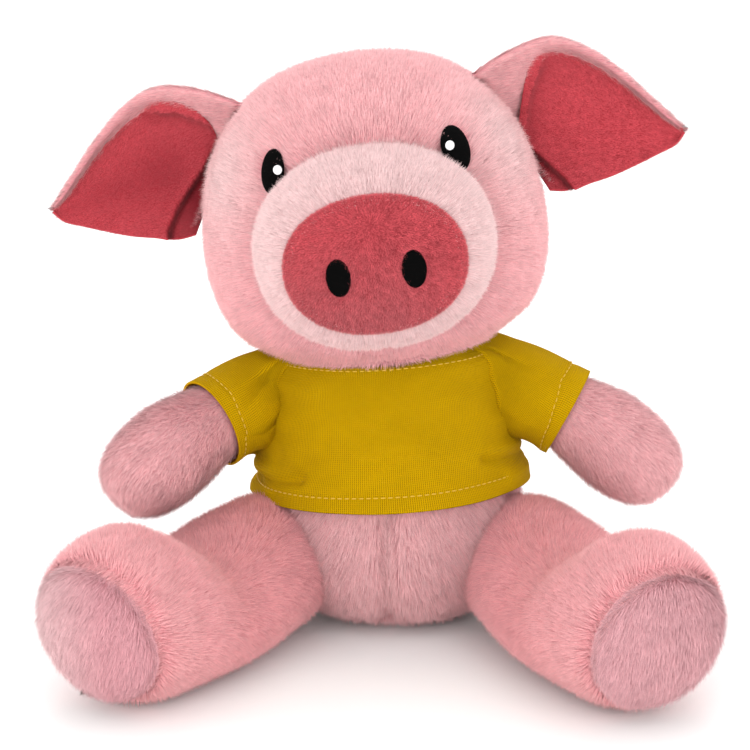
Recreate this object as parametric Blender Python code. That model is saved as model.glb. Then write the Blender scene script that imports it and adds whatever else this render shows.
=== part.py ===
"""Seated plush pig in a knitted T-shirt, stuffed, with limbs, ears, head and tail that flex at their seams.

Metres, +Z up. The pig faces -Y, so its own right side is at -X. The origin lies on the floor under
the middle of the seat. A plush skin's outer face stands where the tips of its pile end.
"""
import math

import bmesh
import bpy
from mathutils import Matrix, Vector

# Cloth, stuffing and clearances
GAP = 0.0003
PLUSH = 0.0016
MINKY = 0.0012
KNIT = 0.0010
EMBROIDERY = 0.0008
OVERRUN = 0.2
# A filling's face lies this far from its skin's outer face
CORE = -PLUSH - 2 * GAP

# Body: height to the neck seam, half sizes at the belly, and how it leans towards its right side
BODY_HEIGHT = 0.1105
BODY_HALF_WIDTH = 0.0530
BODY_HALF_DEPTH = 0.0470
BODY_LEAN = math.radians(3.3)
BODY_BEND_HEIGHT = 0.0400
BELLY_SEAM_DEPTH = 0.0012
BELLY_SEAM_HALF_WIDTH = 0.0060
# Rows of height, half width and half depth, as shares of the three body sizes
BODY_SHARES = (
    (0.000, 0.40, 0.42), (0.030, 0.62, 0.64), (0.090, 0.81, 0.82), (0.180, 0.935, 0.94),
    (0.300, 1.00, 1.00), (0.450, 0.995, 0.99), (0.600, 0.945, 0.94), (0.740, 0.900, 0.90),
    (0.860, 0.865, 0.87), (0.940, 0.815, 0.83), (0.980, 0.770, 0.79), (1.000, 0.720, 0.74),
)

# Bag of pellets that weights the seat
POUCH_HALF_WIDTH = 0.0190
POUCH_HALF_DEPTH = 0.0290
POUCH_HEIGHT = 0.0240
# Rows of height and spread, as shares of the bag's height and half sizes
POUCH_SHARES = ((0.00, 0.60), (0.25, 0.94), (0.50, 1.00), (0.80, 0.72))

# Neck: a plug of stuffing that the head turns and nods on
NECK_RADIUS = 0.0240
NECK_SIDE = 0.0025
NECK_FORWARD = 0.0040
NECK_RISE = 0.0015
NOD_FORWARD = math.radians(4)
NOD_BACK = math.radians(8)

# Head: height over the neck pivot, half sizes, and its tilt towards its right shoulder
HEAD_HEIGHT = 0.1160
HEAD_BELOW = 0.0040
HEAD_HALF_WIDTH = 0.0680
HEAD_HALF_DEPTH = 0.0560
HEAD_FORWARD = 0.0020
HEAD_TILT = math.radians(7.2)
HEAD_POWER = 2.1
# Rows of height, half width and half depth, as shares of the three head sizes
HEAD_SHARES = (
    (0.000, 0.60, 0.64), (0.055, 0.74, 0.77), (0.115, 0.860, 0.87), (0.200, 0.940, 0.94),
    (0.310, 0.990, 0.99), (0.430, 1.000, 1.00), (0.545, 0.975, 0.985), (0.650, 0.930, 0.945),
    (0.750, 0.850, 0.875), (0.835, 0.745, 0.775), (0.905, 0.610, 0.640), (0.955, 0.450, 0.470),
    (0.988, 0.235, 0.250), (1.000, 0.000, 0.000),
)

# Muzzle: a swollen band that carries the snout disc
MUZZLE_RISE_SHARE = 0.405
MUZZLE_RISE = HEAD_HEIGHT * MUZZLE_RISE_SHARE
MUZZLE_HALF_WIDTH = 0.0440
MUZZLE_HALF_HEIGHT = 0.0365
MUZZLE_REACH = 0.0835
MUZZLE_DROP = 0.0026
MUZZLE_POWER = 2.15
# Rows of reach from the neck pivot, half width and half height, as shares
MUZZLE_SHARES = (
    (0.40, 0.97, 0.97), (0.60, 1.00, 1.00), (0.74, 0.985, 0.985), (0.85, 0.940, 0.925),
    (0.93, 0.870, 0.830), (0.975, 0.805, 0.745), (1.00, 0.752, 0.680),
)
SNOUT_DOME = 0.0045
SNOUT_SPREAD_SHARES = (1.00, 0.80, 0.45)
NOSTRIL_SIDE = 0.0134
NOSTRIL_DROP_SHARE = 0.142
NOSTRIL_RISE = MUZZLE_RISE - MUZZLE_HALF_HEIGHT * NOSTRIL_DROP_SHARE
NOSTRIL_HALF_WIDTH = 0.0044
NOSTRIL_HALF_HEIGHT = 0.0068

# Eyes
EYE_SIDE_SHARE = 0.497
EYE_RISE_SHARE = 0.674
EYE_SIDE = HEAD_HALF_WIDTH * EYE_SIDE_SHARE
EYE_RISE = HEAD_HEIGHT * EYE_RISE_SHARE
EYE_HALF_WIDTH = 0.0058
EYE_HALF_HEIGHT = 0.0086
EYE_SLANT = math.radians(12)
HIGHLIGHT_RADIUS = 0.0020
HIGHLIGHT_RISE = 0.0018
HIGHLIGHT_SIDE = 0.0026
PATCH_INNER_SHARE = 0.55

# Ears: a cupped leaf, plush behind and minky in front
EAR_SIDE_SHARE = 0.669
EAR_RISE_SHARE = 0.4526
EAR_ROOT_SIDE = HEAD_HALF_WIDTH * EAR_SIDE_SHARE
EAR_REACH = 0.0770
EAR_BASE_RISE = HEAD_HEIGHT * EAR_RISE_SHARE
EAR_HEIGHT = 0.0580
EAR_BACK = 0.0032
EAR_CUP = 0.0130
EAR_SWEEP = 0.0060
EAR_RIM = 0.0032
EAR_FLOP = math.radians(12)
# Rows of the upper edge's side and rise, then the lower edge's, as shares of reach and height
EAR_SHARES = (
    (0.000, 0.830, 0.310, 0.020), (0.190, 0.945, 0.400, 0.005), (0.385, 0.995, 0.500, 0.035),
    (0.555, 0.900, 0.625, 0.065), (0.710, 0.725, 0.760, 0.120), (0.840, 0.535, 0.865, 0.170),
    (0.945, 0.380, 0.950, 0.215),
)
EAR_TIP_SHARES = (1.000, 0.300)
EAR_MIDDLE_SHARE = 0.5
EAR_CUP_SHARES = (1.00, 1.00, 0.85, 0.65, 0.45, 0.28, 0.14)

# Arms: shoulder pivot on the body, then along the arm
SHOULDER_SIDE_SHARE = 0.868
SHOULDER_RISE_SHARE = 0.837
SHOULDER_SIDE = BODY_HALF_WIDTH * SHOULDER_SIDE_SHARE
SHOULDER_RISE = BODY_HEIGHT * SHOULDER_RISE_SHARE
SHOULDER_FORWARD = 0.0040
ARM_LENGTH = 0.0800
ARM_RADIUS = 0.0205
ARM_BALL = 0.0165
ARM_BALL_OPEN = math.radians(45)
ARM_BEND = math.radians(34)
ARM_DROP_RIGHT = math.radians(8)
ARM_DROP_LEFT = math.radians(15)
ARM_FORWARD_RIGHT = math.radians(36)
ARM_FORWARD_LEFT = math.radians(10)
ARM_LOWER_RIGHT = math.radians(1.5)
ARM_LOWER_LEFT = math.radians(8)
ARM_RAISE = math.radians(30)
# Rows of length from the pivot and radius, as shares of arm length and arm radius
ARM_SHARES = (
    (0.000, 0.805), (0.150, 0.815), (0.330, 0.820), (0.430, 0.885), (0.560, 0.980),
    (0.700, 0.990), (0.820, 0.910), (0.915, 0.730), (0.978, 0.420), (1.000, 0.000),
)

# Legs: hip pivot, then along the leg to the rim that the sole closes
HIP_SIDE = 0.0480
HIP_FORWARD = 0.0160
HIP_BALL = 0.0270
HIP_BALL_OPEN = math.radians(40)
LEG_LENGTH = 0.1200
LEG_HEIGHT = 0.0640
LEG_HALF_WIDTH = 0.0300
LEG_SAG = 0.0070
FLOOR_DIP = 0.0005
LEG_SPLAY_RIGHT = math.radians(29.5)
LEG_SPLAY_LEFT = math.radians(21)
LEG_CLOSE = math.radians(6)
LEG_OPEN = math.radians(20)
SOLE_PITCH = math.radians(12)
SOLE_DOME = 0.0120
# Rows of reach and spread over the sole, as shares of its dome and its rim
SOLE_SHARES = ((0.45, 0.86), (0.85, 0.55))
# Rows of length, half width, top and bottom, as shares of leg length, half width and leg top,
# then the share of the sole's pitch that the row leans by
LEG_SHARES = (
    (0.150, 0.930, 0.830, 0.0, 0.0), (0.290, 0.970, 0.785, 0.0, 0.0), (0.410, 0.985, 0.740, 0.0, 0.0),
    (0.510, 0.985, 0.750, 0.0, 0.0), (0.610, 0.990, 0.865, 0.0, 0.0), (0.710, 1.000, 0.970, 0.0, 0.1),
    (0.800, 1.000, 1.000, 0.0, 0.3), (0.880, 0.985, 0.990, 0.005, 0.6), (0.940, 0.950, 0.965, 0.022, 0.85),
    (0.970, 0.905, 0.930, 0.045, 1.0),
)

# Rows of the leg that its filling keeps
LEG_FILLING_ROWS = (0, 2, 3, 5, 7, 9)

# Tail: a small curl on the back seam
TAIL_RISE_SHARE = 0.2715
TAIL_RISE = BODY_HEIGHT * TAIL_RISE_SHARE
TAIL_THICKNESS = 0.0068
TAIL_CURL_RADIUS = 0.0085
TAIL_CURL_PITCH = 0.0095
TAIL_TURNS = 1.25
TAIL_STUB = 0.0060
TAIL_WAG = math.radians(20)
TAIL_CURL_STEPS = 9
TAIL_TAPER_SHARE = 0.45
# Rows of reach and thickness along the round root end, as shares of the tail's radius
TAIL_END_SHARES = ((-0.80, 0.60), (-0.35, 0.93), (0.00, 1.00))

# T-shirt
HEM_RISE_SHARE = 0.4932
COLLAR_RISE_SHARE = 0.9937
HEM_RISE = BODY_HEIGHT * HEM_RISE_SHARE
COLLAR_RISE = BODY_HEIGHT * COLLAR_RISE_SHARE
SHIRT_EASE = 0.0008
HEM_EASE = 0.0016
FOLD_DEPTH = 0.0012
FOLD_COUNT = 9
FOLD_HEIGHT = 0.0300
SLEEVE_LENGTH = 0.0300
SLEEVE_CUFF_RADIUS = 0.0190
SLEEVE_ROOT_RADIUS = 0.0195
SLEEVE_SHOULDER_RADIUS = 0.0205
SLEEVE_INSET = 0.0160
SLEEVE_FOLD = 0.0006
SLEEVE_FOLDS = 5

# Numbers of points round and along each form
BODY_ROUND = 20
BODY_ROWS = 12
HEAD_ROUND = 28
HEAD_ROWS = 14
FILLING_ROUND = 14
ARM_ROUND = 14
ARM_FILLING_ROUND = 10
LEG_ROUND = 16
MUZZLE_ROUND = 24
PATCH_ROUND = 14
HIGHLIGHT_ROUND = 8
EAR_ACROSS = 7
SHIRT_ROUND = 18
SHIRT_ROWS = 7
SLEEVE_ROUND = 16
SLEEVE_ROWS = 4
TAIL_ROUND = 8
NECK_RINGS = 8
NECK_SPACE_RINGS = 12
SEARCH_STEPS = 30

# How much of a limb its sweep takes in, and the angle off the axis where its ball starts
SWEEP_BALL_ROWS = 3
SWEEP_ARM_SHARE = 0.5
SWEEP_LEG_ROWS = 3
SWEEP_FIRST = math.radians(12)
SWEEP_STEPS = 5

# Faces that meet at more than this are drawn with a sharp edge between them
SHARP_ANGLE = math.radians(50)

COLOURS = {
    "plush": ("E9A0A8", 0.95), "belly": ("E6A9AE", 0.95), "muzzle": ("F0D8D6", 0.95),
    "snout": ("C4525A", 0.9), "ear_lining": ("D8475A", 0.85), "sole": ("EFBFC5", 0.95),
    "embroidery": ("101014", 0.6), "white_thread": ("F5F5F5", 0.6), "knit": ("C89B05", 0.9),
    "fibre": ("F2F2F0", 1.0), "pellet_bag": ("DADAD6", 0.9),
}

X_AXIS = Vector((1, 0, 0))
Y_AXIS = Vector((0, 1, 0))
Z_AXIS = Vector((0, 0, 1))


def clear_scene():
    for item in list(bpy.data.objects):
        bpy.data.objects.remove(item, do_unlink=True)


def linear(channel):
    if channel <= 0.04045:
        return channel / 12.92
    return ((channel + 0.055) / 1.055) ** 2.4


def material(name, finish):
    """Gives each piece a material of its own, from the named finish."""
    colour, roughness = COLOURS[finish]
    made = bpy.data.materials.new(name)
    made.use_nodes = True
    shader = made.node_tree.nodes["Principled BSDF"]
    channels = [linear(int(colour[at:at + 2], 16) / 255) for at in (0, 2, 4)]
    shader.inputs["Base Color"].default_value = (*channels, 1)
    shader.inputs["Roughness"].default_value = roughness
    shader.inputs["Metallic"].default_value = 0
    return made


def add_object(name, mesh, finish, parent=None):
    piece = bpy.data.objects.new(name, mesh)
    bpy.context.collection.objects.link(piece)
    piece.parent = parent
    if finish:
        mesh.materials.append(material(name, finish))
        mesh.shade_smooth()
        mesh.set_sharp_from_angle(angle=SHARP_ANGLE)
    else:
        piece.hide_render = True
        piece.display_type = "WIRE"
    return piece


def add_empty(name, frame, parent=None):
    pivot = bpy.data.objects.new(name, None)
    bpy.context.collection.objects.link(pivot)
    pivot.parent = parent
    pivot.matrix_local = frame
    return pivot


def solidify(piece, thickness, outwards=False):
    wall = piece.modifiers.new("wall", "SOLIDIFY")
    wall.thickness = thickness
    wall.offset = 1 if outwards else -1
    wall.use_even_offset = True


def cut(piece, *cutters):
    for cutter in cutters:
        hole = piece.modifiers.new("cut_" + cutter.name, "BOOLEAN")
        hole.operation = "DIFFERENCE"
        hole.solver = "EXACT"
        hole.object = cutter


def between(rows, place):
    """Smooth curve through rows of numbers, at a place counted in rows."""
    first = min(int(place), len(rows) - 2)
    part = place - first
    before = rows[max(first - 1, 0)]
    start = rows[first]
    end = rows[first + 1]
    after = rows[min(first + 2, len(rows) - 1)]
    values = []
    for a, b, c, d in zip(before, start, end, after):
        values.append(b + 0.5 * part * (c - a + part * (2 * a - 5 * b + 4 * c - d
                                                        + part * (3 * (b - c) + d - a))))
    return values


def row_at(rows, share):
    """Row of a table whose first column is the given share."""
    last = len(rows) - 2
    first = next((at for at in range(last) if rows[at + 1][0] >= share), last)
    low, high = first, first + 1
    for _ in range(SEARCH_STEPS):
        middle = (low + high) / 2
        if between(rows, middle)[0] < share:
            low = middle
        else:
            high = middle
    return between(rows, low)


def rounded(value, power):
    return math.copysign(abs(value) ** (2 / power), value)


def ring(centre, across, up, half_across, half_up, half_down, count, power=2.0, turn=0.0):
    """Closed ring of points, counted from the across direction towards the up direction."""
    points = []
    for step in range(count):
        angle = math.tau * (step + turn) / count
        side = half_across * rounded(math.cos(angle), power)
        sine = rounded(math.sin(angle), power)
        points.append(centre + across * side + up * sine * (half_up if sine > 0 else half_down))
    return points


def loft(rings, start=None, end=None, grow=0.0):
    """Skin through closed rings. An end is a pole point, True for a flat cap, or left open."""
    bm = bmesh.new()
    rows = [[bm.verts.new(point) for point in points] for points in rings]
    count = len(rows[0])
    for lower, upper in zip(rows, rows[1:]):
        for at in range(count):
            after = (at + 1) % count
            bm.faces.new((lower[at], lower[after], upper[after], upper[at]))
    for row, close, flip in ((rows[0], start, True), (rows[-1], end, False)):
        loop = list(reversed(row)) if flip else row
        if close is True:
            bm.faces.new(loop)
        elif close is not None:
            pole = bm.verts.new(close)
            for at in range(count):
                bm.faces.new((loop[at], loop[(at + 1) % count], pole))
    return finish_mesh(bm, grow)


def sheet(rows):
    """Open patch of cloth through rows of points."""
    bm = bmesh.new()
    grid = [[bm.verts.new(point) for point in points] for points in rows]
    for lower, upper in zip(grid, grid[1:]):
        for at in range(len(lower) - 1):
            bm.faces.new((lower[at], lower[at + 1], upper[at + 1], upper[at]))
    return finish_mesh(bm)


def finish_mesh(bm, grow=0.0):
    """Moves every face out by the same distance, and writes the mesh."""
    bm.normal_update()
    if grow:
        moves = [(vert, vert.normal * grow * vert.calc_shell_factor()) for vert in bm.verts]
        for vert, move in moves:
            vert.co += move
        bm.normal_update()
    mesh = bpy.data.meshes.new("form")
    bm.to_mesh(mesh)
    bm.free()
    return mesh


def hull(points):
    bm = bmesh.new()
    for point in points:
        bm.verts.new(point)
    made = bmesh.ops.convex_hull(bm, input=bm.verts)
    spare = {item for key in ("geom_interior", "geom_unused") for item in made[key]}
    bmesh.ops.delete(bm, geom=[item for item in spare if isinstance(item, bmesh.types.BMVert)],
                     context="VERTS")
    bmesh.ops.recalc_face_normals(bm, faces=bm.faces)
    return finish_mesh(bm, GAP)


def sphere_rings(centre, axis, across, up, radius, count, steps, first):
    """Rings over the back of a ball, from the first angle off its axis to its equator."""
    rings = []
    for step in range(steps):
        angle = first + (math.pi / 2 - first) * step / steps
        reach = radius * math.sin(angle)
        rings.append(ring(centre - axis * radius * math.cos(angle), across, up, reach, reach, reach,
                          count, turn=0.5))
    return rings


def ball_room(count):
    """How much wider a sweep's ball is, so that its flats stay outside the true ball."""
    half_step = (math.pi / 2 - SWEEP_FIRST) / SWEEP_BALL_ROWS / 2
    return 1 / (math.cos(math.pi / count) * math.cos(half_step))


def sweep_angles(lowest, highest):
    return [lowest + (highest - lowest) * step / SWEEP_STEPS for step in range(SWEEP_STEPS + 1)]


def body_frame(rise):
    """Place and lean of the body's middle line at a height."""
    lean = BODY_LEAN * min(rise / BODY_BEND_HEIGHT, 1)
    bent = rise ** 2 / (2 * BODY_BEND_HEIGHT)
    if rise > BODY_BEND_HEIGHT:
        bent = rise - BODY_BEND_HEIGHT / 2
    shift = -math.tan(BODY_LEAN) * bent
    return Matrix.Translation((shift, 0, rise)) @ Matrix.Rotation(-lean, 4, "Y")


def body_ring(rise, count, seam=True):
    """Ring of the body at a height, with the shallow crease of the belly seam at its front."""
    _, width, depth = row_at(BODY_SHARES, rise / BODY_HEIGHT)
    frame = body_frame(rise)
    points = []
    for step in range(count):
        angle = math.tau * step / count
        side = BODY_HALF_WIDTH * width * math.cos(angle)
        fore = BODY_HALF_DEPTH * depth * math.sin(angle)
        if seam and fore < 0:
            fore += BELLY_SEAM_DEPTH * math.exp(-(side / BELLY_SEAM_HALF_WIDTH) ** 2) * width
        points.append(frame @ Vector((side, fore, 0)))
    return points


def body_rings(count, steps, seam=True):
    """Rings of the whole body, spaced by the profile's own rows."""
    rings = []
    last = len(BODY_SHARES) - 1
    for step in range(steps + 1):
        share = between(BODY_SHARES, last * step / steps)[0]
        rings.append(body_ring(BODY_HEIGHT * share, count, seam=seam))
    return rings


def build_body(cutters):
    skin = add_object("body_skin", loft(body_rings(BODY_ROUND, BODY_ROWS), True, True), "belly")
    solidify(skin, PLUSH)
    cut(skin, *cutters)

    pouch_rings = []
    for share, spread in POUCH_SHARES:
        rise = PLUSH + GAP + (POUCH_HEIGHT - PLUSH - GAP) * share
        pouch_rings.append(ring(Vector((0, 0, rise)), X_AXIS, Y_AXIS, POUCH_HALF_WIDTH * spread,
                                POUCH_HALF_DEPTH * spread, POUCH_HALF_DEPTH * spread, PATCH_ROUND))
    crown = Vector((0, 0, POUCH_HEIGHT))
    add_object("pellet_pouch", loft(pouch_rings, True, crown), "pellet_bag")
    below = [[point - Z_AXIS * PLUSH for point in pouch_rings[0]]]
    pouch_space = add_object("pouch_space", loft(below + pouch_rings, True, crown, GAP), None)

    plain = body_rings(BODY_ROUND // 2, BODY_ROWS // 2, False)
    filling = add_object("body_filling", loft(plain, True, True, CORE), "fibre")
    cut(filling, pouch_space, *cutters)


def head_ring(share, count):
    _, width, depth = row_at(HEAD_SHARES, share)
    rise = share * (HEAD_HEIGHT + HEAD_BELOW) - HEAD_BELOW
    half_depth = HEAD_HALF_DEPTH * depth
    return ring(Vector((0, -HEAD_FORWARD, rise)), X_AXIS, Y_AXIS, HEAD_HALF_WIDTH * width, half_depth,
                half_depth, count, HEAD_POWER)


def head_mesh(count, steps, grow=0.0):
    last = len(HEAD_SHARES) - 1
    shares = [between(HEAD_SHARES, last * step / steps)[0] for step in range(steps)]
    rings = [head_ring(share, count) for share in shares]
    return loft(rings, True, Vector((0, -HEAD_FORWARD, HEAD_HEIGHT)), grow)


def head_front(side, rise):
    """How far forward the head's face stands, at a place on its front."""
    _, width, depth = row_at(HEAD_SHARES, (rise + HEAD_BELOW) / (HEAD_HEIGHT + HEAD_BELOW))
    share = abs(side) / (HEAD_HALF_WIDTH * width)
    return -HEAD_FORWARD - HEAD_HALF_DEPTH * depth * (1 - share ** HEAD_POWER) ** (1 / HEAD_POWER)


def muzzle_ring(row, count):
    reach, width, height = row
    drop = MUZZLE_DROP * max(reach - MUZZLE_SHARES[1][0], 0) / (1 - MUZZLE_SHARES[1][0])
    centre = Vector((0, -MUZZLE_REACH * reach, MUZZLE_RISE - drop))
    half_height = MUZZLE_HALF_HEIGHT * height
    return ring(centre, X_AXIS, Z_AXIS, MUZZLE_HALF_WIDTH * width, half_height, half_height, count,
                MUZZLE_POWER)


def snout_front(side, rise):
    """How far forward the snout disc stands, at a place on its front."""
    _, width, height = MUZZLE_SHARES[-1]
    across = side / (MUZZLE_HALF_WIDTH * width)
    up = (rise - MUZZLE_RISE + MUZZLE_DROP) / (MUZZLE_HALF_HEIGHT * height)
    return -MUZZLE_REACH - SNOUT_DOME * (1 - min(across ** 2 + up ** 2, 1))


def patch(name, finish, parent, place, halves, slant, front, lift, thickness, count=PATCH_ROUND):
    """Embroidered oval that lies on a curved front, a lift away from it."""
    bm = bmesh.new()
    rings = []
    turn = Matrix.Rotation(slant, 2)
    for spread in (PATCH_INNER_SHARE, 1):
        row = []
        for step in range(count):
            angle = math.tau * step / count
            offset = turn @ Vector((halves[0] * math.cos(angle), halves[1] * math.sin(angle))) * spread
            side, rise = place[0] + offset.x, place[1] + offset.y
            row.append(bm.verts.new((side, front(side, rise) - lift, rise)))
        rings.append(row)
    middle = bm.verts.new((place[0], front(*place) - lift, place[1]))
    for at in range(count):
        after = (at + 1) % count
        bm.faces.new((rings[0][at], rings[0][after], middle))
        bm.faces.new((rings[1][at], rings[1][after], rings[0][after], rings[0][at]))
    bmesh.ops.recalc_face_normals(bm, faces=bm.faces)
    if sum(face.normal.y for face in bm.faces) > 0:
        bmesh.ops.reverse_faces(bm, faces=bm.faces)
    piece = add_object(name, finish_mesh(bm), finish, parent)
    solidify(piece, thickness, True)
    return piece


def build_head(head, neck_cutters, head_space):
    skin = add_object("head_skin", head_mesh(HEAD_ROUND, HEAD_ROWS), "plush", head)
    solidify(skin, PLUSH)
    cut(skin, *neck_cutters)
    filling = add_object("head_filling", head_mesh(HEAD_ROUND // 2, HEAD_ROWS // 2, CORE), "fibre", head)
    cut(filling, *neck_cutters)

    rings = [muzzle_ring(row, MUZZLE_ROUND) for row in MUZZLE_SHARES]
    band = add_object("muzzle_band", loft(rings), "muzzle", head)
    solidify(band, PLUSH)
    cut(band, head_space)
    plain = [muzzle_ring(row, FILLING_ROUND) for row in MUZZLE_SHARES[::2]]
    stuffing = add_object("muzzle_filling", loft(plain, True, True, CORE), "fibre", head)
    cut(stuffing, head_space)
    band_space = add_object("band_space", loft(rings, True, True, GAP), None, head)

    _, width, height = MUZZLE_SHARES[-1]
    disc_rings = []
    for spread in SNOUT_SPREAD_SHARES:
        row = []
        for point in muzzle_ring(MUZZLE_SHARES[-1], MUZZLE_ROUND):
            side = point.x * spread
            rise = MUZZLE_RISE - MUZZLE_DROP + (point.z - MUZZLE_RISE + MUZZLE_DROP) * spread
            row.append(Vector((side, snout_front(side, rise), rise)))
        disc_rings.append(row)
    middle = Vector((0, snout_front(0, MUZZLE_RISE - MUZZLE_DROP), MUZZLE_RISE - MUZZLE_DROP))
    disc = add_object("snout_disc", loft(disc_rings, None, middle), "snout", head)
    solidify(disc, MINKY)
    cut(disc, band_space)
    for side, word in ((-1, "right"), (1, "left")):
        patch("nostril_" + word, "embroidery", head, (side * NOSTRIL_SIDE, NOSTRIL_RISE),
              (NOSTRIL_HALF_WIDTH, NOSTRIL_HALF_HEIGHT), 0, snout_front, GAP, EMBROIDERY)
        eye = patch("eye_" + word, "embroidery", head, (side * EYE_SIDE, EYE_RISE),
                    (EYE_HALF_WIDTH, EYE_HALF_HEIGHT), side * EYE_SLANT, head_front, GAP, EMBROIDERY)
        cut(eye, band_space)
        patch("eye_highlight_" + word, "white_thread", head,
              (side * (EYE_SIDE - HIGHLIGHT_SIDE), EYE_RISE + HIGHLIGHT_RISE),
              (HIGHLIGHT_RADIUS, HIGHLIGHT_RADIUS), 0, head_front,
              2 * GAP + 2 * EMBROIDERY, EMBROIDERY, HIGHLIGHT_ROUND)


def ear_rows(side, rim, depth):
    """Rows across the ear, each from its lower edge to its upper edge, then the tip."""
    rows = []
    for (up_side, up_rise, low_side, low_rise), cup in zip(EAR_SHARES, EAR_CUP_SHARES):
        upper = Vector((EAR_ROOT_SIDE + EAR_REACH * up_side, 0, EAR_BASE_RISE + EAR_HEIGHT * up_rise))
        lower = Vector((EAR_ROOT_SIDE + EAR_REACH * low_side, 0, EAR_BASE_RISE + EAR_HEIGHT * low_rise))
        along = (upper - lower).normalized()
        upper -= along * rim
        lower += along * rim
        row = []
        for step in range(EAR_ACROSS):
            share = step / (EAR_ACROSS - 1)
            point = lower.lerp(upper, share)
            bow = 1 - (share / EAR_MIDDLE_SHARE - 1) ** 2 - EAR_MIDDLE_SHARE
            point.y = EAR_CUP * cup * bow - EAR_SWEEP * up_side ** 2 - depth
            point.x *= side
            row.append(point)
        rows.append(row)
    tip = Vector((EAR_ROOT_SIDE + (EAR_REACH - rim) * EAR_TIP_SHARES[0], -EAR_SWEEP - depth,
                  EAR_BASE_RISE + EAR_HEIGHT * EAR_TIP_SHARES[1]))
    tip.x *= side
    return rows, tip


def ear_leaf(side, rim, depth):
    """Open leaf surface whose faces point forwards."""
    rows, tip = ear_rows(side, rim, depth)
    bm = bmesh.new()
    grid = [[bm.verts.new(point) for point in row] for row in rows]
    for inner, outer in zip(grid, grid[1:]):
        for at in range(EAR_ACROSS - 1):
            bm.faces.new((inner[at], outer[at], outer[at + 1], inner[at + 1]))
    end = bm.verts.new(tip)
    for at in range(EAR_ACROSS - 1):
        bm.faces.new((grid[-1][at], end, grid[-1][at + 1]))
    bmesh.ops.recalc_face_normals(bm, faces=bm.faces)
    if sum(face.normal.y for face in bm.faces) > 0:
        bmesh.ops.reverse_faces(bm, faces=bm.faces)
    return finish_mesh(bm)


def build_ear(head, head_space, side, word):
    root_top = Vector((EAR_ROOT_SIDE + EAR_REACH * EAR_SHARES[0][0], 0,
                       EAR_BASE_RISE + EAR_HEIGHT * EAR_SHARES[0][1]))
    root_low = Vector((EAR_ROOT_SIDE + EAR_REACH * EAR_SHARES[0][2], 0,
                       EAR_BASE_RISE + EAR_HEIGHT * EAR_SHARES[0][3]))
    for point in (root_top, root_low):
        point.x *= side
    axis = (root_low - root_top).normalized()
    pivot = add_empty("ear_" + word + "_pivot", Matrix.Translation(root_top), head)
    cutters = []
    for angle in (-EAR_FLOP, EAR_FLOP):
        turned = add_object("head_past_ear_" + word, head_space.data, None, head)
        turned.matrix_local = (Matrix.Translation(root_top) @ Matrix.Rotation(angle, 4, axis)
                               @ Matrix.Translation(-root_top))
        cutters.append(turned)
    for name, finish, rim, depth, thickness in (
            ("ear_back_", "plush", 0, 0, EAR_BACK),
            ("ear_lining_", "ear_lining", EAR_RIM, MINKY + GAP, MINKY)):
        mesh = ear_leaf(side, rim, depth)
        mesh.transform(Matrix.Translation(-root_top))
        piece = add_object(name + word, mesh, finish, pivot)
        solidify(piece, thickness)
        cut(piece, *cutters)
    return head.matrix_world @ root_top, head.matrix_world.to_3x3() @ axis


def arm_frame(side):
    """Shoulder pivot and arm direction of the pig's right (-1) or left (1) arm."""
    forward, drop = (ARM_FORWARD_RIGHT, ARM_DROP_RIGHT) if side < 0 else (ARM_FORWARD_LEFT, ARM_DROP_LEFT)
    place = body_frame(SHOULDER_RISE) @ Vector((side * SHOULDER_SIDE, -SHOULDER_FORWARD, 0))
    level = Vector((side * math.cos(forward), -math.sin(forward), 0))
    return place, level * math.cos(drop) - Z_AXIS * math.sin(drop)


def arm_rings(side, count, last_share=1.0, ball_first=ARM_BALL_OPEN):
    """Rings from the ball at the shoulder to the hand, in a frame at the pivot."""
    _, along = arm_frame(side)
    across = Z_AXIS.cross(along).normalized()
    up = along.cross(across)
    rings = sphere_rings(Vector(), along, across, up, ARM_BALL, count, SWEEP_BALL_ROWS, ball_first)
    place = Vector()
    before = 0
    tip = None
    for length, radius in ARM_SHARES:
        if length > last_share:
            break
        droop = Matrix.Rotation(ARM_BEND * (length + before) / 2, 3, across)
        place = place + droop @ along * ARM_LENGTH * (length - before)
        before = length
        reach = ARM_RADIUS * radius
        if reach:
            tilted = Matrix.Rotation(ARM_BEND * length, 3, across) @ up
            rings.append(ring(place, across, tilted, reach, reach, reach, count, turn=0.5))
        tip = place
    return rings, tip


def build_arm(side, word):
    place, _ = arm_frame(side)
    pivot = add_empty("arm_" + word + "_pivot", Matrix.Translation(place))
    rings, tip = arm_rings(side, ARM_ROUND)
    skin = add_object("arm_skin_" + word, loft(rings, None, tip), "plush", pivot)
    solidify(skin, PLUSH)
    plain, tip = arm_rings(side, ARM_FILLING_ROUND)
    add_object("arm_filling_" + word, loft(plain, True, tip, CORE), "fibre", pivot)


def arm_sweep(side, word):
    """Room that the arm's ball and upper half sweep as it lowers and rises."""
    place, _ = arm_frame(side)
    rings, _ = arm_rings(side, ARM_ROUND, SWEEP_ARM_SHARE, SWEEP_FIRST)
    wider = ball_room(ARM_ROUND)
    points = [place + point * wider for row in rings[:SWEEP_BALL_ROWS + 1] for point in row]
    lower = ARM_LOWER_RIGHT if side < 0 else ARM_LOWER_LEFT
    for angle in sweep_angles(-lower, ARM_RAISE):
        turn = Matrix.Rotation(-side * angle, 3, "Y")
        points += [place + turn @ point for row in rings[SWEEP_BALL_ROWS + 1:] for point in row]
    return add_object("arm_sweep_" + word, hull(points), None)


def leg_frame(side):
    """Hip pivot and leg direction of the pig's right (-1) or left (1) leg."""
    splay = LEG_SPLAY_RIGHT if side < 0 else LEG_SPLAY_LEFT
    place = Vector((side * HIP_SIDE, -HIP_FORWARD, HIP_BALL - FLOOR_DIP))
    return place, Vector((side * math.sin(splay), -math.cos(splay), 0))


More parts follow.
